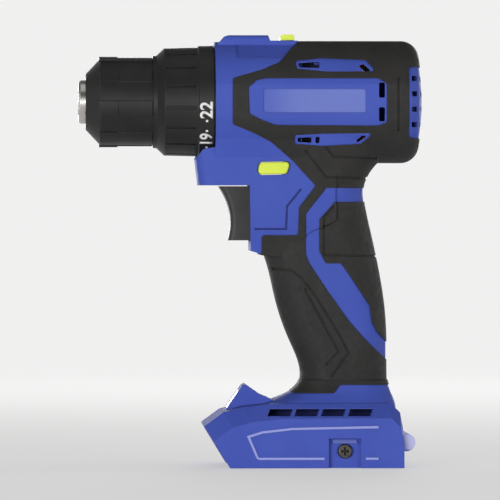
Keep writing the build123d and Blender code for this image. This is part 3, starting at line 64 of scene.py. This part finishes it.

# Zones of the housing with painted sheen, highlights and shade in their colour: limits of x, |y| and
# z

# painted sheen on the flat side panel, which is also less rough
PANEL_ZONE = ((0.0054, 0.0538), (0.0262, 0.02738), (AXIS_Z - 0.0053, AXIS_Z + 0.0059))
PANEL_SHEEN_SWEEP = (0.004, 0.024)  # x over which the side panel grows paler
# painted highlight on the rounded end of the bumper at the heel
HEEL_HIGHLIGHT_ZONE = ((0.0692, 0.0780), (0.0315, 0.0345), (0.0085, 0.0160))
# painted highlight on the lit face of the ledge over the hook pocket
LEDGE_HIGHLIGHT_ZONE = ((0.0374, 0.0498), (0.0350, 0.0368), (0.0115, 0.0142))
# painted shade on the inner walls behind the foot vents
VENT_SHADE_ZONE = ((0.0040, 0.0600), (0.0090, 0.0128), (0.0205, 0.0278))
# painted shade in the groove on the switch housing
GROOVE_SHADE_ZONE = ((0.0012, 0.0246), (0.0170, 0.01848), (0.1123, 0.1332))
# painted highlight along the top of the raised line on the foot
FOOT_HIGHLIGHT_Y = (0.03712, 0.03732)  # |y| where the raised line of the foot starts
PANEL_POLISH = 0.10  # how much less rough the side panel is

# Shading

NOISE_SPAN = (0.3, 0.7)  # the part of a noise between its dark and its pale end
EDGE_TURN = (0.015, 0.22)  # how far the rounded normal leaves the true one, at an edge
CAVITY_REACH = 0.002  # depth of the corners that gather shade
TURNING_MARKS = 5200.0  # scale of the fine rings on turned metal
LENS_PITCH = 0.0022  # width of one rib of the lens

# Stage

STAGE_PALE = (0.90, 0.90, 0.895)
STAGE_GLOW = (0.52, 1.0)  # share of the floor that shows as plain background, near and far
GLOW_REACH = (0.25, 1.5)  # distances from the origin for near and far
FLOOR_RADIUS = 14.0
FLOOR_Z = -0.0002
BACKGROUND = 0.97
WORLD_LIGHT = 0.14
CEILING = (0.12, 0.55)  # heights on the sky: pale below the first, WORLD_LIGHT above the second


class Mat:
    """One node material, with short-hand for the nodes it is built from."""

    def __init__(self, name):
        self.mat = bpy.data.materials.new(name)
        self.mat.use_nodes = True
        self.tree = self.mat.node_tree
        self.bsdf = self.tree.nodes["Principled BSDF"]
        self.place = self.add("ShaderNodeTexCoord").outputs["Object"]
        self.normal = None

    def add(self, kind, **settings):
        node = self.tree.nodes.new(kind)
        for key, value in settings.items():
            setattr(node, key, value)
        return node

    def feed(self, socket, value):
        if isinstance(value, bpy.types.NodeSocket):
            self.tree.links.new(value, socket)
        else:
            socket.default_value = value

    def shader(self, **values):
        for key, value in values.items():
            self.feed(self.bsdf.inputs[key.replace("_", " ")], value)
        return self

    def noise(self, scale, detail=3.0, rough=0.5, where=None):
        node = self.add("ShaderNodeTexNoise")
        self.feed(node.inputs["Vector"], where or self.place)
        self.feed(node.inputs["Scale"], scale)
        self.feed(node.inputs["Detail"], detail)
        self.feed(node.inputs["Roughness"], rough)
        return node.outputs["Fac"]

    def cells(self, feature, scale):
        node = self.add("ShaderNodeTexVoronoi", feature=feature)
        self.feed(node.inputs["Vector"], self.place)
        self.feed(node.inputs["Scale"], scale)
        return node.outputs["Distance"]

    def math(self, how, a, b=0.0):
        node = self.add("ShaderNodeMath", operation=how)
        self.feed(node.inputs[0], a)
        self.feed(node.inputs[1], b)
        return node.outputs[0]

    def span(self, value, low, high, to=(0.0, 1.0)):
        """A smooth step of a value, from the low limit to the high one."""
        node = self.add("ShaderNodeMapRange", clamp=True, interpolation_type="SMOOTHSTEP")
        for name, number in (("Value", value), ("From Min", low), ("From Max", high),
                             ("To Min", to[0]), ("To Max", to[1])):
            self.feed(node.inputs[name], number)
        return node.outputs["Result"]

    def mix(self, share, a, b):
        node = self.add("ShaderNodeMix", data_type="RGBA")
        self.feed(node.inputs["Factor"], share)
        for name, value in (("A", a), ("B", b)):
            socket = [s for s in node.inputs if s.name == name and s.type == "RGBA"][0]
            is_link = isinstance(value, bpy.types.NodeSocket)
            self.feed(socket, value if is_link else (*value, 1.0))
        return [s for s in node.outputs if s.type == "RGBA"][0]

    def patchy(self, dark, pale, scale, detail=3.0, rough=0.5):
        """A colour that wanders between two tones."""
        return self.mix(self.span(self.noise(scale, detail, rough), *NOISE_SPAN), dark, pale)

    def tint(self, colour, mask, share, to):
        """A colour, moved by a share towards another where the mask is one."""
        return self.mix(self.math("MULTIPLY", mask, share), colour, to)

    def axes(self):
        node = self.add("ShaderNodeSeparateXYZ")
        self.feed(node.inputs[0], self.place)
        return node.outputs["X"], node.outputs["Y"], node.outputs["Z"]

    def around(self):
        """Station along the spindle and radius from it, as a vector for turned marks."""
        x, y, z = self.axes()
        up = self.math("SUBTRACT", z, AXIS_Z)
        squares = self.math("ADD", self.math("MULTIPLY", y, y), self.math("MULTIPLY", up, up))
        node = self.add("ShaderNodeCombineXYZ")
        self.feed(node.inputs["X"], x)
        self.feed(node.inputs["Y"], self.math("SQRT", squares))
        return node.outputs[0]

    def ripple(self, value, pitch):
        """Rounded waves of a value, one to each pitch."""
        turns = self.math("MULTIPLY", value, math.pi / pitch)
        return self.math("ABSOLUTE", self.math("SINE", turns))

    def edges(self, radius):
        """Rounds the edges for shading, and returns where they are."""
        bevel = self.add("ShaderNodeBevel", samples=4)
        self.feed(bevel.inputs["Radius"], radius)
        dot = self.add("ShaderNodeVectorMath", operation="DOT_PRODUCT")
        self.feed(dot.inputs[0], bevel.outputs[0])
        self.feed(dot.inputs[1], self.add("ShaderNodeNewGeometry").outputs["Normal"])
        self.normal = bevel.outputs[0]
        return self.span(self.math("SUBTRACT", 1.0, dot.outputs["Value"]), *EDGE_TURN)

    def cavity(self, low, high):
        """Painted shade: one in the grooves and corners of the piece itself, where shade falls."""
        node = self.add("ShaderNodeAmbientOcclusion", samples=8, only_local=True)
        self.feed(node.inputs["Distance"], CAVITY_REACH)
        return self.span(node.outputs["AO"], low, high, to=(1.0, 0.0))

    def bump(self, height, depth, strength):
        node = self.add("ShaderNodeBump")
        self.feed(node.inputs["Strength"], strength)
        self.feed(node.inputs["Distance"], depth)
        self.feed(node.inputs["Height"], height)
        if self.normal:
            self.feed(node.inputs["Normal"], self.normal)
        self.normal = node.outputs[0]
        self.feed(self.bsdf.inputs["Normal"], self.normal)

    def grain(self, fine, coarse):
        """Moulded surface grain from two sizes of noise."""
        return self.math("ADD", self.math("MULTIPLY", self.noise(fine, 2.0), 0.6),
                         self.math("MULTIPLY", self.noise(coarse, 3.0), 0.4))

    def seam(self):
        """The joint line between the two halves, down the centre plane."""
        y = self.axes()[1]
        return self.span(self.math("ABSOLUTE", y), *SEAM_Y, to=(1.0, 0.0))

    def box_mask(self, ranges, soft=0.0004):
        """One inside the given ranges of x, |y| and z, fading over the soft distance."""
        x, y, z = self.axes()
        total = None
        for value, limits in zip((x, self.math("ABSOLUTE", y), z), ranges):
            for limit, sign in zip(limits, (1, -1)):
                part = self.span(value, limit - soft * sign, limit + soft * sign)
                total = part if total is None else self.math("MULTIPLY", total, part)
        return total


def housing_blue():
    m = Mat("housing_blue")
    edge = m.edges(0.0007)
    colour = m.patchy((0.055, 0.090, 0.436), (0.064, 0.102, 0.472), 38.0, 4.0, 0.6)
    # Painted sheen: the side panel is painted paler, more so towards the rear
    panel = m.box_mask(PANEL_ZONE)
    sheen_sweep = m.span(m.axes()[0], *PANEL_SHEEN_SWEEP, to=(0.35, 1.0))
    colour = m.mix(m.math("MULTIPLY", panel, sheen_sweep), colour, (0.185, 0.235, 0.600))
    # Painted highlight along the top of the raised line on the foot
    line = m.span(m.math("ABSOLUTE", m.axes()[1]), *FOOT_HIGHLIGHT_Y)
    colour = m.mix(line, colour, (0.32, 0.36, 0.78))
    # Painted highlight on the rounded end of the bumper at the heel
    heel_highlight = m.box_mask(HEEL_HIGHLIGHT_ZONE, soft=0.0008)
    colour = m.tint(colour, heel_highlight, share=0.90, to=(0.56, 0.57, 0.85))
    # Painted highlight on the lit face of the ledge over the hook pocket
    ledge = m.box_mask(LEDGE_HIGHLIGHT_ZONE, soft=0.0002)
    colour = m.tint(colour, ledge, share=0.8, to=(0.19, 0.23, 0.58))
    # Paler edges: partly wear, partly a painted highlight along them
    colour = m.tint(colour, edge, share=0.36, to=(0.19, 0.23, 0.60))
    # Painted shade in the grooves and corners of the housing
    colour = m.tint(colour, m.cavity(0.30, 0.62), share=0.75, to=(0.012, 0.018, 0.12))
    # Painted shade on the inner walls behind the foot vents
    colour = m.tint(colour, m.box_mask(VENT_SHADE_ZONE), share=0.9, to=(0.008, 0.012, 0.07))
    # Painted shade in the groove on the switch housing
    groove = m.box_mask(GROOVE_SHADE_ZONE, soft=0.0001)
    colour = m.tint(colour, groove, share=0.7, to=(0.014, 0.022, 0.15))
    colour = m.tint(colour, m.seam(), share=0.75, to=(0.012, 0.016, 0.09))
    texture = m.grain(fine=2600.0, coarse=700.0)
    m.bump(texture, depth=0.00005, strength=0.55)
    m.bump(m.seam(), depth=0.0003, strength=-0.7)
    rough = m.span(texture, *NOISE_SPAN, to=(0.58, 0.70))
    rough = m.math("SUBTRACT", rough, m.math("MULTIPLY", panel, PANEL_POLISH))
    return m.shader(Base_Color=colour, Roughness=rough, Specular_IOR_Level=0.16).mat


def grip_rubber():
    m = Mat("grip_rubber")
    edge = m.edges(0.0006)
    dust = m.span(m.noise(55.0, 5.0, 0.62), 0.34, 0.72)
    colour = m.mix(dust, (0.0245, 0.0235, 0.0228), (0.0300, 0.0290, 0.0278))
    colour = m.tint(colour, edge, share=0.32, to=(0.070, 0.068, 0.066))
    # Painted shade in the grooves and corners of the grip
    colour = m.tint(colour, m.cavity(0.45, 0.80), share=0.75, to=(0.008, 0.008, 0.008))
    colour = m.tint(colour, m.seam(), share=0.6, to=(0.008, 0.008, 0.008))
    m.bump(m.cells("SMOOTH_F1", 1500.0), depth=0.00008, strength=0.5)
    m.bump(m.seam(), depth=0.0003, strength=-0.6)
    rough = m.span(m.noise(420.0), *NOISE_SPAN, to=(0.60, 0.74))
    return m.shader(Base_Color=colour, Roughness=rough, Specular_IOR_Level=0.20).mat


def black_plastic(name, dark, pale, rough, gloss, wear):
    m = Mat(name)
    edge = m.edges(0.0005)
    colour = m.patchy(dark, pale, 60.0, 4.0, 0.6)
    colour = m.tint(colour, edge, share=wear, to=(0.13, 0.13, 0.13))
    # Painted shade in the grooves and corners
    colour = m.tint(colour, m.cavity(0.45, 0.85), share=0.7, to=(0.004, 0.004, 0.004))
    texture = m.grain(fine=3000.0, coarse=900.0)
    m.bump(texture, depth=0.00004, strength=0.5)
    rough = m.span(texture, *NOISE_SPAN, to=rough)
    return m.shader(Base_Color=colour, Roughness=rough, Specular_IOR_Level=gloss).mat


def lime_plastic():
    m = Mat("lime_plastic")
    edge = m.edges(0.0004)
    colour = m.patchy((0.66, 0.80, 0.048), (0.72, 0.85, 0.066), 90.0)
    colour = m.tint(colour, edge, share=0.35, to=(0.76, 0.88, 0.30))
    texture = m.grain(fine=3200.0, coarse=1100.0)
    m.bump(texture, depth=0.00003, strength=0.4)
    rough = m.span(texture, *NOISE_SPAN, to=(0.30, 0.42))
    return m.shader(Base_Color=colour, Roughness=rough).mat


def turned_steel(name, dark, pale, rough, cavity_shade=0.0):
    m = Mat(name)
    edge = m.edges(0.0003)
    marks = m.noise(TURNING_MARKS, 2.0, 0.6, m.around())
    stain = m.span(m.noise(140.0, 4.0, 0.6), 0.35, 0.75)
    colour = m.mix(m.span(marks, *NOISE_SPAN), dark, pale)
    colour = m.tint(colour, stain, share=0.35, to=tuple(0.6 * c for c in dark))
    colour = m.tint(colour, edge, share=0.5, to=(0.85, 0.84, 0.82))
    # Painted shade in the piece's own recesses
    if cavity_shade:
        colour = m.tint(colour, m.cavity(0.45, 0.85), share=cavity_shade, to=(0.010, 0.008, 0.007))
    m.bump(marks, depth=0.00003, strength=0.5)
    rough = m.span(marks, 0.25, 0.75, to=rough)
    return m.shader(Base_Color=colour, Metallic=1.0, Roughness=rough).mat


def cast_alloy():
    m = Mat("cast_alloy")
    edge = m.edges(0.0004)
    colour = m.patchy((0.42, 0.43, 0.44), (0.58, 0.59, 0.60), 180.0, 4.0, 0.6)
    colour = m.tint(colour, edge, share=0.4, to=(0.75, 0.75, 0.74))
    pits = m.noise(1400.0, 4.0, 0.6)
    m.bump(pits, depth=0.00006, strength=0.5)
    rough = m.span(pits, *NOISE_SPAN, to=(0.36, 0.51))
    return m.shader(Base_Color=colour, Metallic=1.0, Roughness=rough).mat


def banded(name, dark, pale, rough, pitch, depth):
    """Stacked laminations or wound wire: bands along the spindle."""
    m = Mat(name)
    wave = m.ripple(m.axes()[0], pitch)
    drift = m.span(m.noise(160.0), *NOISE_SPAN)
    drift = m.math("ADD", m.math("MULTIPLY", drift, 0.4), 0.6)
    colour = m.mix(m.math("MULTIPLY", wave, drift), dark, pale)
    m.bump(wave, depth, strength=0.8)
    rough = m.span(wave, 0.0, 1.0, to=rough)
    return m.shader(Base_Color=colour, Metallic=0.9, Roughness=rough).mat


def circuit_board():
    m = Mat("circuit_board")
    track = m.span(m.cells("DISTANCE_TO_EDGE", 210.0), 0.03, 0.06)
    colour = m.mix(track, (0.055, 0.22, 0.10), (0.018, 0.10, 0.045))
    solder = m.span(m.noise(600.0, 2.0), 0.66, 0.70)
    colour = m.mix(solder, colour, (0.55, 0.54, 0.50))
    m.bump(track, depth=0.00005, strength=-0.6)
    rough = m.span(m.noise(300.0), *NOISE_SPAN, to=(0.28, 0.42))
    return m.shader(Base_Color=colour, Roughness=rough).mat


def lead_jacket():
    m = Mat("lead_jacket")
    colour = m.patchy((0.24, 0.012, 0.012), (0.36, 0.022, 0.02), 120.0)
    m.bump(m.noise(1800.0, 2.0), depth=0.00003, strength=0.4)
    rough = m.span(m.noise(500.0), *NOISE_SPAN, to=(0.48, 0.60))
    return m.shader(Base_Color=colour, Roughness=rough).mat


def frosted_lens():
    m = Mat("frosted_lens")
    m.edges(0.0004)
    prism = m.ripple(m.axes()[1], LENS_PITCH)
    colour = m.patchy((0.78, 0.79, 0.74), (0.88, 0.88, 0.82), 240.0)
    m.bump(prism, depth=0.0002, strength=0.35)
    return m.shader(Base_Color=colour, Roughness=0.24, Transmission_Weight=0.12, IOR=1.49).mat


def white_print():
    m = Mat("white_print")
    wear = m.span(m.noise(900.0, 4.0, 0.65), 0.30, 0.62)
    colour = m.mix(wear, (0.62, 0.62, 0.60), (0.84, 0.84, 0.82))
    m.bump(m.noise(3000.0, 2.0), depth=0.00002, strength=0.4)
    rough = m.span(wear, 0.0, 1.0, to=(0.62, 0.50))
    return m.shader(Base_Color=colour, Roughness=rough).mat


def seen_directly(tree):
    """One for the rays that show the background: from the camera, off gloss or through glass."""
    path = tree.nodes.new("ShaderNodeLightPath")
    total = path.outputs["Is Camera Ray"]
    for name in ("Is Glossy Ray", "Is Transmission Ray"):
        most = tree.nodes.new("ShaderNodeMath")
        most.operation = "MAXIMUM"
        tree.links.new(total, most.inputs[0])
        tree.links.new(path.outputs[name], most.inputs[1])
        total = most.outputs[0]
    return total


def stage_paint():
    """Pale floor that fades into the background and keeps the tool's shadow."""
    m = Mat("stage")
    tone = m.patchy(STAGE_PALE, tuple(0.985 * c for c in STAGE_PALE), 1.5, 2.0)
    m.shader(Base_Color=tone, Roughness=0.9, Specular_IOR_Level=0.15)
    glow = m.add("ShaderNodeEmission")
    m.feed(glow.inputs["Color"], (*STAGE_PALE, 1.0))
    m.feed(glow.inputs["Strength"], BACKGROUND)
    both = m.add("ShaderNodeMixShader")
    distance = m.add("ShaderNodeVectorMath", operation="LENGTH")
    m.feed(distance.inputs[0], m.place)
    share = m.span(distance.outputs["Value"], *GLOW_REACH, to=STAGE_GLOW)
    m.feed(both.inputs[0], m.math("MULTIPLY", seen_directly(m.tree), share))
    m.feed(both.inputs[1], m.bsdf.outputs[0])
    m.feed(both.inputs[2], glow.outputs[0])
    m.feed(m.tree.nodes["Material Output"].inputs["Surface"], both.outputs[0])
    return m.mat


# Finishes, by the material slot of the part's record, with three pieces that have their own

FINISH = {
    "blue_plastic": housing_blue(),
    "grey_rubber": grip_rubber(),
    "black_plastic": black_plastic("black_plastic", (0.0135, 0.0135, 0.0135),
                                   (0.0200, 0.0198, 0.0195), (0.38, 0.50), gloss=0.22, wear=0.3),
    "lime_plastic": lime_plastic(),
    "steel": turned_steel("turned_steel", (0.52, 0.50, 0.47), (0.74, 0.72, 0.69), (0.16, 0.30)),
    "hard_steel": turned_steel("ground_steel", (0.28, 0.28, 0.29), (0.46, 0.46, 0.47), (0.22, 0.36)),
    "cast_alloy": cast_alloy(),
    "core_iron": banded("core_iron", (0.07, 0.07, 0.075), (0.24, 0.24, 0.25), (0.54, 0.34),
                        pitch=0.0005, depth=0.0001),
    "copper": banded("copper_wire", (0.26, 0.085, 0.03), (0.66, 0.27, 0.11), (0.46, 0.26),
                     pitch=0.0009, depth=0.0003),
    "brass": turned_steel("machined_brass", (0.50, 0.35, 0.13), (0.72, 0.54, 0.25), (0.20, 0.34)),
    "circuit_board": circuit_board(),
    "lead_jacket": lead_jacket(),
    "clear_lens": frosted_lens(),
}
TRIGGER_GREY = black_plastic("trigger_grey", (0.034, 0.034, 0.0325), (0.045, 0.045, 0.043),
                             (0.40, 0.52), gloss=0.20, wear=0.25)
SCREW_BLACK = turned_steel("black_oxide", (0.022, 0.021, 0.023), (0.042, 0.038, 0.037), (0.30, 0.44))
# Dark steel, with painted shade in the cross recess of its head
HOOK_STEEL = turned_steel("hook_steel", (0.036, 0.033, 0.030), (0.092, 0.084, 0.074), (0.34, 0.48),
                          cavity_shade=0.95)
PRINT = white_print()
OWN_FINISH = {"trigger": TRIGGER_GREY, "hook_screw": HOOK_STEEL, "housing_screws": SCREW_BLACK}

for part in frame["record"]["subparts"]:
    node = nodes[part["node"]]
    node.data.materials.clear()
    node.data.materials.append(OWN_FINISH.get(part["node"], FINISH[part["material_slot"]]))


def mesh_from(bm, name):
    """A mesh from a bmesh, with its normals recalculated."""
    bmesh.ops.recalc_face_normals(bm, faces=bm.faces)
    mesh = bpy.data.meshes.new(name)
    bm.to_mesh(mesh)
    bm.free()
    return mesh


def piece(name, bm, body, finish):
    """A new piece, in place, that rides a body."""
    mesh = mesh_from(bm, name)
    mesh.materials.append(finish)
    obj = bpy.data.objects.new(name, mesh)
    scene.collection.objects.link(obj)
    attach(obj, body)


# Printing on the torque collar and the ridge, as thin closed layers

PRINT_X = (COLLAR_BAND[0][0] + COLLAR_BAND[1][0]) / 2
PRINT_LIFT = 0.00005
PRINT_DEPTH = 0.0001
PRINT_MERGE = 0.00002  # points nearer than this become one
PRINT_EDGE = 0.0012  # longer edges are cut, so that the print follows the round
NUMBERS = range(22, 0, -3)
NUMBER_SIZE = 0.0082
NUMBER_WEIGHT = 0.00022
NUMBER_STEP = math.radians(33.75)
FIRST_NUMBER = math.radians(99.0)  # from the top, down the left side
DOTS_BETWEEN = 2
DOT_RADIUS = 0.00062
DOT_SIDES = 14
BIT_OUTLINES = (
    ((-0.0009, -0.0028), (0.0009, -0.0028), (0.0009, -0.0014), (-0.0009, -0.0014)),
    ((-0.0009, -0.0010), (0.0009, -0.0003), (0.0009, 0.0006), (-0.0009, -0.0001)),
    ((-0.0009, 0.0004), (0.0009, 0.0011), (0.0009, 0.0017), (0.0, 0.0028), (-0.0009, 0.0013)))
POINTER_OUTLINE = ((-0.0098, 0.0), (-0.0066, -0.0019), (-0.0072, 0.0), (-0.0066, 0.0019))


def on_collar(flat, angle):
    """A point of the flat print, laid on the collar at an angle from the top."""
    x = PRINT_X - flat.y
    (x0, r0), (x1, r1) = COLLAR_BAND
    radius = r0 + (x - x0) / (x1 - x0) * (r1 - r0) + PRINT_LIFT + flat.z
    turn = angle - flat.x / radius
    return Vector((x, -radius * math.sin(turn), AXIS_Z + radius * math.cos(turn)))


def thicken(bm):
    """Closes a flat sheet into a thin layer, downwards."""
    below = bmesh.ops.extrude_face_region(bm, geom=bm.faces[:], use_keep_orig=True)["geom"]
    for v in below:
        if isinstance(v, bmesh.types.BMVert):
            v.co.z -= PRINT_DEPTH


def lay(bm, angle):
    """Turns a flat print into a layer on the collar."""
    bmesh.ops.remove_doubles(bm, verts=bm.verts, dist=PRINT_MERGE)
    bmesh.ops.dissolve_degenerate(bm, edges=bm.edges, dist=PRINT_MERGE)
    long_edges = [e for e in bm.edges if e.calc_length() > PRINT_EDGE]
    bmesh.ops.subdivide_edges(bm, edges=long_edges, cuts=2, use_grid_fill=False)
    bmesh.ops.triangulate(bm, faces=bm.faces)
    thicken(bm)
    for v in bm.verts:
        v.co = on_collar(v.co, angle)


def flat_number(text):
    """A number as a flat sheet, with its middle at the origin."""
    curve = bpy.data.curves.new("number_" + text, "FONT")
    curve.body = text
    curve.size = NUMBER_SIZE
    curve.offset = NUMBER_WEIGHT
    curve.resolution_u = 5
    curve.align_x = "CENTER"
    curve.align_y = "CENTER"
    flat = bpy.data.objects.new("number_flat", curve)
    scene.collection.objects.link(flat)
    bpy.context.view_layer.update()
    shown = flat.evaluated_get(bpy.context.evaluated_depsgraph_get())
    mesh = bpy.data.meshes.new_from_object(shown)
    bpy.data.objects.remove(flat)
    bm = bmesh.new()
    bm.from_mesh(mesh)
    bpy.data.meshes.remove(mesh)
    bmesh.ops.triangulate(bm, faces=bm.faces)
    return bm


for place, value in enumerate(NUMBERS):
    digits = flat_number(str(value))
    lay(digits, FIRST_NUMBER + place * NUMBER_STEP)
    piece("collar_number_" + str(value), digits, "collar", PRINT)

dots = bmesh.new()
for place in range(len(NUMBERS) - 1):
    for dot in range(1, DOTS_BETWEEN + 1):
        spot = bmesh.new()
        bmesh.ops.create_circle(spot, cap_ends=True, segments=DOT_SIDES, radius=DOT_RADIUS)
        lay(spot, FIRST_NUMBER + (place + dot / (DOTS_BETWEEN + 1)) * NUMBER_STEP)
        loose = bpy.data.meshes.new("dot")
        spot.to_mesh(loose)
        spot.free()
        dots.from_mesh(loose)
        bpy.data.meshes.remove(loose)
piece("collar_dots", dots, "collar", PRINT)

# Drilling sign at the top of the collar: a plain twist bit, point forwards
bit = bmesh.new()
for outline in BIT_OUTLINES:
    bit.faces.new([bit.verts.new((u, v, 0)) for u, v in outline])
lay(bit, 0.0)
piece("collar_bit_sign", bit, "collar", PRINT)

# Pointer on the ridge, towards the collar
pointer = bmesh.new()
pointer.faces.new([pointer.verts.new((x, y, DECK_TOP + PRINT_LIFT)) for x, y in POINTER_OUTLINE])
thicken(pointer)
piece("ridge_pointer", pointer, "tool", PRINT)

# Star recess in the head of every housing screw, at the bottom of its well

STAR_POINTS = 6
STAR_SIDES = 36
STAR_RIMS = (  # radius, height of the star's lobes and lift over the screw's head
    (0.00272, 0.0, 0.00002), (0.00258, 0.0, 0.0004),
    (0.00145, 0.0002, 0.00045), (0.00138, 0.0002, 0.00005))

stars = bmesh.new()
for x, z in SCREWS:
    rims = []
    for radius, lobe, lift in STAR_RIMS:
        rim = []
        for k in range(STAR_SIDES):
            turn = 2 * math.pi * k / STAR_SIDES
            reach = radius + lobe * math.cos(STAR_POINTS * turn)
            point = (x + reach * math.cos(turn), SCREW_TOP_Y + lift, z + reach * math.sin(turn))
            rim.append(stars.verts.new(point))
        rims.append(rim)
    for outer, inner in zip(rims, rims[1:]):
        for k in range(STAR_SIDES):
            stars.faces.new((outer[k], outer[k - 1], inner[k - 1], inner[k]))
    stars.faces.new(rims[-1])
    stars.faces.new(rims[0][::-1])
piece("screw_stars", stars, "tool", SCREW_BLACK)

# Insulating ring on the front of the stator, round the coil ends

RING_SIDES = 96
RING_SECTION = (  # x and radius
    (0.02435, 0.0194), (0.02435, 0.0226), (0.02795, 0.0226), (0.02795, 0.0194))

ring = bmesh.new()
hoops = []
for k in range(RING_SIDES):
    turn = 2 * math.pi * k / RING_SIDES
    hoops.append([ring.verts.new((x, r * math.cos(turn), AXIS_Z + r * math.sin(turn)))
                  for x, r in RING_SECTION])
for k in range(RING_SIDES):
    for a in range(len(RING_SECTION)):
        ring.faces.new((hoops[k - 1][a - 1], hoops[k - 1][a], hoops[k][a], hoops[k][a - 1]))
piece("coil_insulator", ring, "tool", FINISH["black_plastic"])

# Ledge at the top of each pocket in the foot, for the tab of a belt hook

LEDGE_X = (0.0379, 0.0493)
LEDGE_SECTION = (  # |y| and z
    (0.0344, 0.01405), (0.0363, 0.0122), (0.0363, 0.0118), (0.0344, 0.0118))

ledges = bmesh.new()
for side in (-1, 1):
    ends = [[ledges.verts.new((x, side * y, z)) for y, z in LEDGE_SECTION] for x in LEDGE_X]
    for end in ends:
        ledges.faces.new(end)
    for k in range(len(LEDGE_SECTION)):
        ledges.faces.new((ends[0][k - 1], ends[0][k], ends[1][k], ends[1][k - 1]))
piece("hook_ledges", ledges, "tool", FINISH["blue_plastic"])

# Camera, at the photograph's angle and distance

FRONT_TURN = math.radians(2.2)
ABOVE = math.radians(0.6)
DISTANCE = 3.0
FILL = 0.86  # share of the picture's height that the tool takes
SENSOR = 36.0

middle = (Vector(cad_box[0]) + Vector(cad_box[1])) / 2
tall = cad_box[1][2] - cad_box[0][2]
away = Vector((-math.sin(FRONT_TURN) * math.cos(ABOVE),
               -math.cos(FRONT_TURN) * math.cos(ABOVE),
               math.sin(ABOVE)))
camera = bpy.data.objects.new("camera", bpy.data.cameras.new("camera"))
scene.collection.objects.link(camera)
camera.location = middle + DISTANCE * away
camera.rotation_euler = (-away).to_track_quat("-Z", "Y").to_euler()
camera.data.sensor_width = SENSOR
camera.data.lens = SENSOR * DISTANCE * FILL / tall
camera.data.clip_end = 50.0
scene.camera = camera

# Pale floor

ground = bmesh.new()
bmesh.ops.create_circle(ground, cap_ends=True, segments=64, radius=FLOOR_RADIUS)
for v in ground.verts:
    v.co.z = FLOOR_Z
floor_mesh = mesh_from(ground, "floor")
floor_mesh.materials.append(stage_paint())
floor = bpy.data.objects.new("floor", floor_mesh)
scene.collection.objects.link(floor)

# Lamps: place, width and height, power; all of them face the tool

LAMPS = {
    "key": ((-0.80, -1.6, 0.16), (1.2, 0.28), 21.0),
    "fill": ((1.0, -1.3, 0.14), (0.9, 0.24), 5.0),
    "top": ((0.1, -0.1, 1.5), (1.4, 1.0), 2.0),
    "back": ((0.35, 1.7, 0.30), (0.8, 0.4), 12.0),
    "back_front": ((-0.6, 1.6, 0.22), (0.8, 0.36), 7.0),
    "rear": ((1.8, 0.55, 0.45), (0.8, 0.5), 7.0),
}

for name, (place, size, power) in LAMPS.items():
    light = bpy.data.lights.new(name, "AREA")
    light.shape = "RECTANGLE"
    light.size, light.size_y = size
    light.energy = power
    lamp = bpy.data.objects.new(name, light)
    scene.collection.objects.link(lamp)
    lamp.location = place
    lamp.rotation_euler = (middle - Vector(place)).to_track_quat("-Z", "Y").to_euler()


def studio_world():
    """Weak even light, with a pale horizon for the rays that show the background."""
    world = bpy.data.worlds.new("studio")
    world.use_nodes = True
    tree = world.node_tree
    sky = tree.nodes["Background"]
    sky.inputs["Color"].default_value = (*STAGE_PALE, 1.0)
    compass = tree.nodes.new("ShaderNodeTexCoord")
    height = tree.nodes.new("ShaderNodeSeparateXYZ")
    tree.links.new(compass.outputs["Generated"], height.inputs[0])
    shade = tree.nodes.new("ShaderNodeMapRange")
    shade.interpolation_type = "SMOOTHSTEP"
    limits = (*CEILING, BACKGROUND - WORLD_LIGHT, 0.0)
    for name, limit in zip(("From Min", "From Max", "To Min", "To Max"), limits):
        shade.inputs[name].default_value = limit
    tree.links.new(height.outputs["Z"], shade.inputs["Value"])
    level = tree.nodes.new("ShaderNodeMath")
    level.operation = "MULTIPLY_ADD"
    tree.links.new(seen_directly(tree), level.inputs[0])
    tree.links.new(shade.outputs["Result"], level.inputs[1])
    level.inputs[2].default_value = WORLD_LIGHT
    tree.links.new(level.outputs[0], sky.inputs["Strength"])
    return world


scene.world = studio_world()
scene.view_settings.view_transform = "Standard"
